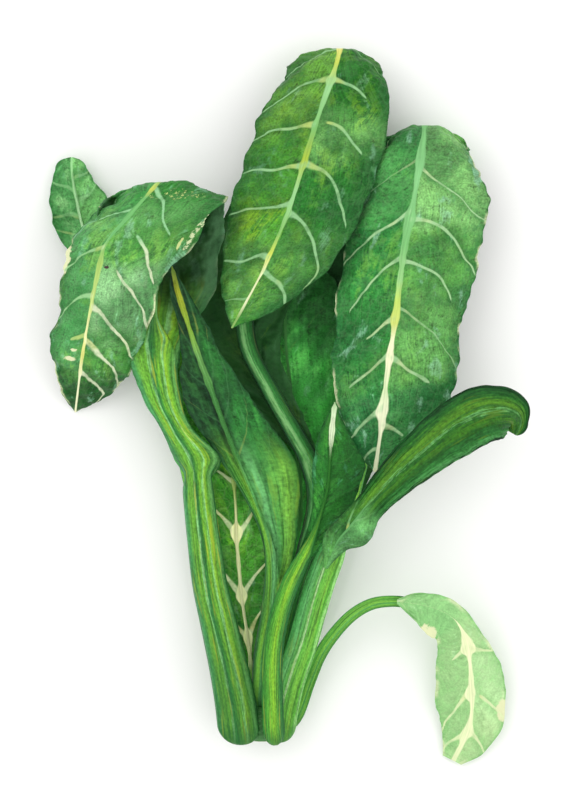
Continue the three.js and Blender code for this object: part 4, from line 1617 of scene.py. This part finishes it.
LEAVES = (
    Leaf(
        name="left_leaf", spreads=True, base=(22, 9), neck=(15, 8), tip=(2, 1.6), neck_at=0.3, blade_from=7,
        stations=trail(
            (-10.5, -11, 21), (-13, 9, 23), (-16.5, 28, 25), (-21, 48, 27), (-26, 70, 29), (-29, 92, 30),
            (-31.5, 113, 31), (-33.5, 132, 31, 9.5, 12.5), (-43, 148, 31, 8, 8), (-50, 163, 31, 9.5, 9.5),
            (-54, 186, 31, 14, 13), (-54, 212, 31, 18, 28, -10), (-53, 240, 32, 26, 33, -25, -10),
            (-50, 269.5, 44, 37, 33, -58, -31), (-58, 262, 58, 20, 40, -55, -18, 4),
            (-67, 252, 60, 23, 39, -50, -15, 6), (-77, 240, 58, 20, 45, -40, -10, 8),
            (-81, 227, 54, 19.5, 34, -40, -10, 10), (-86, 204, 46, 18.5, 31, -35, -10, 10),
            (-90, 184, 34, 16.5, 27, -25, -10, 8), (-93, 167, 15, 9, 19, -10, -10, 4), (-95, 156, 0),
        ),
        left_veins=veins(24, 6, 16) + (
            Vein(172, 12, 1.4, 0.4), Vein(196, 15, 1.3, 0.9), Vein(222, 16, 2.0, 0.8),
            Vein(243.6, 9, bold=0.9, ends=0.4), Vein(264, 8, 1.0, 0.1), Vein(282, 5, 1.0, 0.1),
        ),
        right_veins=veins(28, 5, 30) + (
            Vein(154, 54, 1.0, 0.7, 0.04, 0.66), Vein(180, 38, 1.1, 0.9, 0.3, 0.88, 0.9),
            Vein(199, 38, 1.1, 0.8, 0.28, 1.0, 1.0), Vein(227.6, 31, bold=1.0, ends=0.97),
            Vein(246.6, 34, 1.3, 1.1, spot=0.9), Vein(267.6, 26, 1.15, 0.8), Vein(286, 10, 1.0, 0.1),
        ),
        blade_finish=LEFT_BLADE, stalk_finish=OUTER_STALK, step=0.9, fan=(64, 36), splay=True, melt=50,
        midrib=(4, 1.4), rib_width=(2.4, 0.5), ragged=1.5,
    ),
    Leaf(
        name="tall_leaf", spreads=True, base=(9, 7), neck=(11, 7), tip=(2, 1.6), neck_at=0.23, blade_from=5,
        stations=trail(
            (4, 5, 10), (8, 30, 12), (15, 60, 15), (23, 88, 17), (28, 112, 18), (24, 131, 18, 4, 4),
            (16, 146, 18, 9, 8), (5, 165, 17, 16, 11), (-7, 189, 14, 23, 16), (-8, 215, 10, 25, 24),
            (-2, 245, 4, 21, 30), (9, 275, 0.5, 19, 34, -10, -15), (22, 304, 0.5, 22, 34, -25, -30),
            (33, 324, 6, 23, 28, -50, -50), (39, 339, 19, 26, 22, -48, -52),
            (37, 329, 33, 28, 26, -42, -42), (30, 309, 38, 31, 35, -32, -22),
            (22, 284, 38, 31, 38, -30, -12), (13.5, 257, 39, 30.5, 37, -25, -12),
            (3, 232, 41, 24, 33.5, -20, -12), (-4, 218, 42, 16, 26, -15, -15), (-10, 207, 42, 8, 17),
            (-15, 198, 41),
        ),
        left_veins=veins(30, 8, 20) + (
            Vein(236, 16, 1.5, 0.4), Vein(257.9, 17, 2.0), Vein(282.4, 7, 1.8), Vein(303.9, 3, 1.0),
            Vein(323.9, 6, 1.3), Vein(352.9, 1, 1.0), Vein(376, 2, 1.0, 0.3),
        ),
        right_veins=veins(26, 8, 24) + (
            Vein(234, 18, 1.8, 0.3), Vein(257.9, 20, 1.8, 0.9, ends=0.62),
            Vein(281, 34, 2.1, 0.9, 0.16, 0.72), Vein(302.9, 44, 1.9, 0.95, ends=0.86),
            Vein(328.9, 41, 1.6, 1.0), Vein(360.4, 18, 1.0, 0.9),
        ),
        blade_finish=TALL_BLADE, stalk_finish=BEHIND_STALK, step=0.9, rib_width=(4.0, 0.5), ragged=1.5,
        bulge=1.6,
    ),
    Leaf(
        name="right_leaf", spreads=True, base=(9, 7), neck=(8, 6.5), tip=(2, 1.6), neck_at=0.2,
        blade_from=4,
        stations=trail(
            (7, -6, 0.5), (12, 6, 0.5), (22, 35, 0.5), (34, 75, 2), (44, 108, 3, 4, 4),
            (50, 130, 2.2, 16, 8), (58, 160, 1.2, 29, 17), (66, 195, 0.5, 38, 24), (73, 231, 0.5, 43, 28),
            (78.5, 261, 0.5, 34, 27), (82, 285, 5, 27, 26, -40, -40), (82, 300, 19, 26, 26, -58, -58),
            (81, 293, 33, 22, 28, -50, -50), (79, 280, 37, 24, 30, -40, -40),
            (76, 262, 37, 28, 39, -45, -30), (72, 242, 37, 33, 39, -45, -28),
            (69, 221, 37, 32, 39, -35, -25), (66.5, 200, 37, 30, 34, -25, -25),
            (63, 177, 38, 28, 36, -20, -20), (60, 151, 37, 20, 30, -10, -15), (58, 135, 35, 10, 14),
            (56.5, 126, 34),
        ),
        left_veins=veins(26, 8, 24) + (
            Vein(230, 20, 1.2, 0.25), Vein(257, 27, 1.25, 0.9), Vein(280.5, 42, 1.4, 0.7, ends=0.75),
            Vein(311, 26, 1.2, 0.8, ends=0.45), Vein(329, 24, 0.95, 0.7, ends=0.7),
            Vein(356, 16.5, 0.9, 1.2, spot=0.5), Vein(377, 6, 1.0, 0.4),
        ),
        right_veins=veins(24, 8, 24) + (
            Vein(234, 28, 1.05, 0.4), Vein(261, 28, 2.2, 0.9), Vein(282.5, 35, 2.1, 0.8, ends=0.75),
            Vein(306, 30, 1.5, 0.3), Vein(331, 24.6, 1.27, 0.9, ends=0.6, spot=0.5),
            Vein(365, 14, 1.1, 0.8, ends=0.45),
        ),
        blade_finish=RIGHT_BLADE, stalk_finish=PLAIN_STALK, step=0.9, rib_width=(3.2, 1.1),
        stars=((356, 1.3, 6), (311, 0.8, 6), (261, 0.8, 6)), ragged=1.4, bulge=1.6,
    ),
    Leaf(
        name="shaded_leaf", spreads=True, base=(8, 7), neck=(9, 6), tip=(2, 1.6), neck_at=0.3, blade_from=3,
        stations=trail(
            (-2, 7, 18), (0, 34, 22), (4, 57, 24), (5, 75, 25, 3, 8), (3, 92, 26, 3, 14),
            (-3, 110, 28, 4, 22, 5, 10), (-12, 132, 31, 9, 29, 10, 15), (-20, 152, 34, 15, 22, 10, 15),
            (-25, 166, 35, 15.5, 18, 10, 15), (-31, 182, 36, 9.5, 13, 5, 10), (-37, 200, 37, 5, 9),
            (-42, 216, 38, 4, 5), (-45, 229, 39),
        ),
        left_veins=veins(40, 6, 14, 0.35, 20), right_veins=veins(24, 7, 40, 0.4, 19),
        blade_finish=SHADED_BLADE, stalk_finish=SHADED_STALK, blade_slot="deep_blade", fan=(46, 34),
        melt=60, midrib=(2.2, 1.2), rib_width=(1.3, 1.3),
    ),
    Leaf(
        name="far_left_leaf", base=(6, 5), neck=(4, 3.5), tip=(1.4, 1.2), neck_at=0.6, blade_from=7,
        stations=trail(
            (-9, -4, 11), (-14, 10, 9), (-22, 45, 8), (-31, 90, 8), (-41, 135, 8), (-53, 170, 7),
            (-67, 203, 6), (-79, 224, 6, 3, 3), (-86, 238, 6, 10, 10), (-91, 250, 6, 13.5, 14),
            (-93.5, 261, 6.5, 14, 15.5), (-95.5, 271, 7, 12, 10.5), (-96.5, 279, 7.5, 8, 7.5),
            (-96.5, 285, 8),
        ),
        left_veins=(
            Vein(10, 10, bold=0.5), Vein(22, 9, bold=0.5), Vein(34, 2, bold=0.9), Vein(47, 6, bold=0.5),
        ),
        right_veins=(
            Vein(14, 10, bold=0.5), Vein(28, 9, bold=0.6), Vein(42, 8, bold=0.5), Vein(53, 5, bold=0.4),
        ),
        blade_finish=FAR_BLADE, stalk_finish=PLAIN_STALK, blade_slot="pale_blade", melt=16,
        midrib=(1.8, 0.8), rib_width=(0.9, 0.5), round_tip=True, bulge=1.0, ribs=5,
    ),
    Leaf(
        name="curled_leaf", rib_side=1, base=(15, 9), neck=(14, 7), tip=(2, 1.6), neck_at=0.4, blade_from=6,
        stations=trail(
            (8.6, -11, 28), (10.5, 4, 30), (14, 20, 32), (20, 38, 34), (25, 56, 37), (30.5, 74, 41),
            (37, 90, 46, 7, 6), (44, 99, 49, 7, 12), (52, 109, 52, 6, 9), (62, 120, 54, 8, 10, -12, -12),
            (73, 131, 55, 10, 12.5, -20, -20), (84, 140, 55, 12, 14, -24, -24),
            (96, 149, 53, 13, 16, -24, -24), (108, 155, 50, 14, 15.5, -24, -24),
            (119, 157, 45, 12, 14.5, -20, -20), (127, 155, 38, 9, 11, -12, -12), (130, 150.5, 31, 3.5, 11),
            (128, 144.5, 26, 2.5, 6),
        ),
        left_veins=veins(10, 5, 18, 0.35, 18) + (
            Vein(95, 13, 1.0, 0.9), Vein(109, 10, bold=0.6), Vein(122, 6, bold=0.5),
        ),
        right_veins=veins(16, 5, 18, 0.35, 18) + (
            Vein(98, 8, 1.0, 0.7), Vein(112, 8, bold=0.5), Vein(124, 5, bold=0.4),
        ),
        blade_finish=CURLED_BLADE, stalk_finish=FRONT_STALK, blade_slot="deep_blade", fan_from=22,
        fan=(136, 8), melt=30, midrib=(3, 1), rib_width=(0.6, 0.4), round_tip=True, ragged=0.4, bulge=0.5,
        wave=0.25,
    ),
    Leaf(
        name="low_leaf", rib_side=1, base=(7, 6), neck=(5.5, 4.5), tip=(1.6, 1.4), neck_at=0.48,
        blade_from=8,
        stations=trail(
            (13, -5, 17), (18.5, 5, 18), (23, 18, 20), (29, 33, 23), (36.5, 44.5, 26), (45.5, 54, 29),
            (55, 59.5, 31), (65, 61, 32), (76, 60, 32, 5, 7), (88, 57, 31, 7.5, 13.5),
            (97, 51.5, 27.5, 7.5, 13.5), (102.5, 42, 22, 8.5, 14.5), (105, 29, 16.5, 14.5, 17.5),
            (106, 15, 11.5, 17, 18.5), (106, 2, 8, 16.5, 17), (102.5, -10, 4.8, 13, 12.5),
            (97, -21, 2.9, 4.5, 6),
        ),
        left_veins=(
            Vein(18, 6, 1.0, 0.1), Vein(41, 3, 1.0, 1.7), Vein(67, 10, 1.0, 1.2, 0.25, 1.1, 0.8),
            Vein(86, 8, 1.0, 1.0),
        ),
        right_veins=(
            Vein(18, 4, 1.0, 0.1), Vein(41, 12, 1.2, 1.5, ends=0.5), Vein(66, 26, 1.3, 1.1),
            Vein(88, 14, 1.0, 1.0),
        ),
        blade_finish=LOW_BLADE, stalk_finish=PLAIN_STALK, blade_slot="pale_blade", melt=20, midrib=(2.4, 1),
        rib_width=(1.5, 1.0), rib_from=28, stars=((39, 2.4, 5), (67, 1.2, 4), (87, 0.8, 4)), bulge=0.7,
        wave=0.9, ribs=5,
    ),
    Leaf(
        name="gap_leaf", base=(6, 5), neck=(4.5, 4), tip=(1.6, 1.4), neck_at=0.2, blade_from=1,
        stations=trail(
            (-4, 7, 14), (-5, 22, 16.5, 3, 3), (-7, 41, 18, 6, 6), (-10, 61, 18.5, 9, 12),
            (-12.5, 88, 19, 11, 15), (-13.5, 111, 19, 13, 12), (-16, 133, 19, 14, 9), (-22, 152, 19, 16, 9),
            (-30, 170, 19, 18, 9), (-37, 188, 19, 14, 8), (-43, 205, 19),
        ),
        left_veins=(
            Vein(20, 13, 1.0), Vein(41, 15, 1.0, 1.2), Vein(72.5, 15, 1.0, 1.2), Vein(99, 12, 1.0, 0.8),
        ),
        right_veins=(
            Vein(20, 13, 1.0), Vein(41, 17, 1.0, 1.2), Vein(72.5, 17, 1.0, 1.2), Vein(99, 12, 1.0, 0.8),
        ),
        blade_finish=GAP_BLADE, stalk_finish=PLAIN_STALK, melt=22, midrib=(1.6, 0.8),
        rib_width=(0.85, 0.55), stars=((20, 0.8, 3), (41, 1.3, 3), (73, 1.5, 4)), wave=0.8, ribs=5,
    ),
    Leaf(
        name="inner_leaf", rib_side=1, base=(7, 5), neck=(6, 4.5), tip=(1.6, 1.4), neck_at=0.37,
        blade_from=4,
        stations=trail(
            (0, -3, 5.9), (1, 8, 5.9), (8, 35, 5.9), (15, 70, 5.9), (19, 98, 5.9, 4, 16),
            (19, 121, 5.9, 9, 19), (16.5, 146, 5.9, 13, 24), (14, 171, 5.9, 16, 27), (12, 192, 5.9, 16, 28),
            (12, 210, 5.5, 15, 28), (15, 228, 4.2, 11, 22), (19, 241, 2.7),
        ),
        left_veins=veins(10, 7, 38, 0.3, 19), right_veins=veins(12, 7, 38, 0.3, 19),
        blade_finish=INNER_BLADE, stalk_finish=PLAIN_STALK, blade_slot="deep_blade", wave=0.6, ribs=5,
    ),
    Leaf(
        name="heart_leaf", base=(11, 7), neck=(8, 5.5), tip=(1.6, 1.4), neck_at=0.55, blade_from=5,
        stations=trail(
            (6.6, -10, 24), (5.5, 5, 30), (5.5, 33, 37), (8.5, 53, 39), (14, 70, 41), (21, 84, 41, 3, 4),
            (26, 95, 41, 4, 7.5), (30, 107, 41, 5, 10.5), (33, 119, 41, 8, 15.5), (34, 132, 41, 8, 17),
            (35, 146, 41, 6, 8.5), (36.5, 161, 41),
        ),
        left_veins=veins(30, 3, 6, 0.25, 18), right_veins=veins(30, 3, 10, 0.25, 18),
        blade_finish=HEART_BLADE, stalk_finish=HEART_STALK, melt=44, midrib=(1.8, 1), rib_width=(1.9, 1.5),
        rib_from=57, bulge=0.7, wave=0.7, ribs=7,
    ),
)


@dataclass
class Studio:
    """The pale floor, the soft lights and the camera."""

    look_at: tuple[float, float] = (-0.0016, 0.0040)
    camera_height: float = 2.44
    lens: float = 216.0
    floor_side: float = 7.0
    floor_below: float = 0.0002
    floor_tone: Colour = (249, 249, 247)
    floor_cloud: Colour = (240, 240, 237)
    sky: float = 1.1

    def build(self) -> None:
        """Sets the studio up."""
        self.lay_floor()
        self.light("key", (-0.9, 0.75, 1.5), 1.5, 6.5)
        self.light("fill", (1.2, -0.3, 1.3), 1.6, 3.6)
        self.light("foot", (-0.2, -1.5, 1.1), 1.4, 2.4)
        world = bpy.data.worlds.new("studio")
        world.use_nodes = True
        world.node_tree.nodes["Background"].inputs["Color"].default_value = (1.0, 1.0, 1.0, 1.0)
        world.node_tree.nodes["Background"].inputs["Strength"].default_value = self.sky
        bpy.context.scene.world = world
        bpy.context.scene.view_settings.view_transform = "Standard"
        self.stand_camera()

    def lay_floor(self) -> None:
        """Lays the plain pale floor that the plant lies on."""
        Bench.clear()
        bpy.ops.mesh.primitive_plane_add(size=self.floor_side, location=(0, 0, -self.floor_below))
        floor = Bench.start("floor")
        graph = Graph("floor_paper")
        place = graph.out(graph.node("TexCoord"), "Object")
        cloud = graph.noise(place, 0.5, 2.0)
        tone = graph.mix((cloud - 0.5) * 0.1 + 0.05, self.floor_tone, self.floor_cloud)
        floor.data.materials.append(graph.finish(tone, 0.8, 0.0, specular=0.1))

    @staticmethod
    def light(name: str, place: tuple[float, float, float], size: float, power: float) -> None:
        """Hangs a square soft light that shines at the plant.

        Args:
            name: The light's name.
            place: Where it hangs, in metres.
            size: The length of its side.
            power: Its power in watts.
        """
        data = bpy.data.lights.new(name, "AREA")
        data.shape = "SQUARE"
        data.size = size
        data.energy = power
        lamp = bpy.data.objects.new(name, data)
        bpy.context.scene.collection.objects.link(lamp)
        lamp.location = place
        lamp.rotation_euler = lamp.location.to_track_quat("Z", "Y").to_euler()

    def stand_camera(self) -> None:
        """Stands the camera straight above the plant, with the crown at the foot of the picture."""
        data = bpy.data.cameras.new("camera")
        data.lens = self.lens
        data.clip_start = 0.05
        camera = bpy.data.objects.new("camera", data)
        bpy.context.scene.collection.objects.link(camera)
        camera.location = (*self.look_at, self.camera_height)
        bpy.context.scene.camera = camera


def main() -> None:
    """Builds the plant and the studio round it."""
    logging.basicConfig(level=logging.INFO, format="%(message)s")
    Bench.settle()
    Bench.hand_over(Crown().form(CrownFinish()), "crown", "crown_flesh")
    for seed, leaf in enumerate(LEAVES, start=1):
        Bench.hand_over(Stalk(leaf, seed).form(), leaf.name + "_stalk", "stalk_skin")
        Bench.hand_over(Blade(leaf, seed).form(), leaf.name + "_blade", leaf.blade_slot)
    Studio().build()


if __name__ == "__main__":
    main()
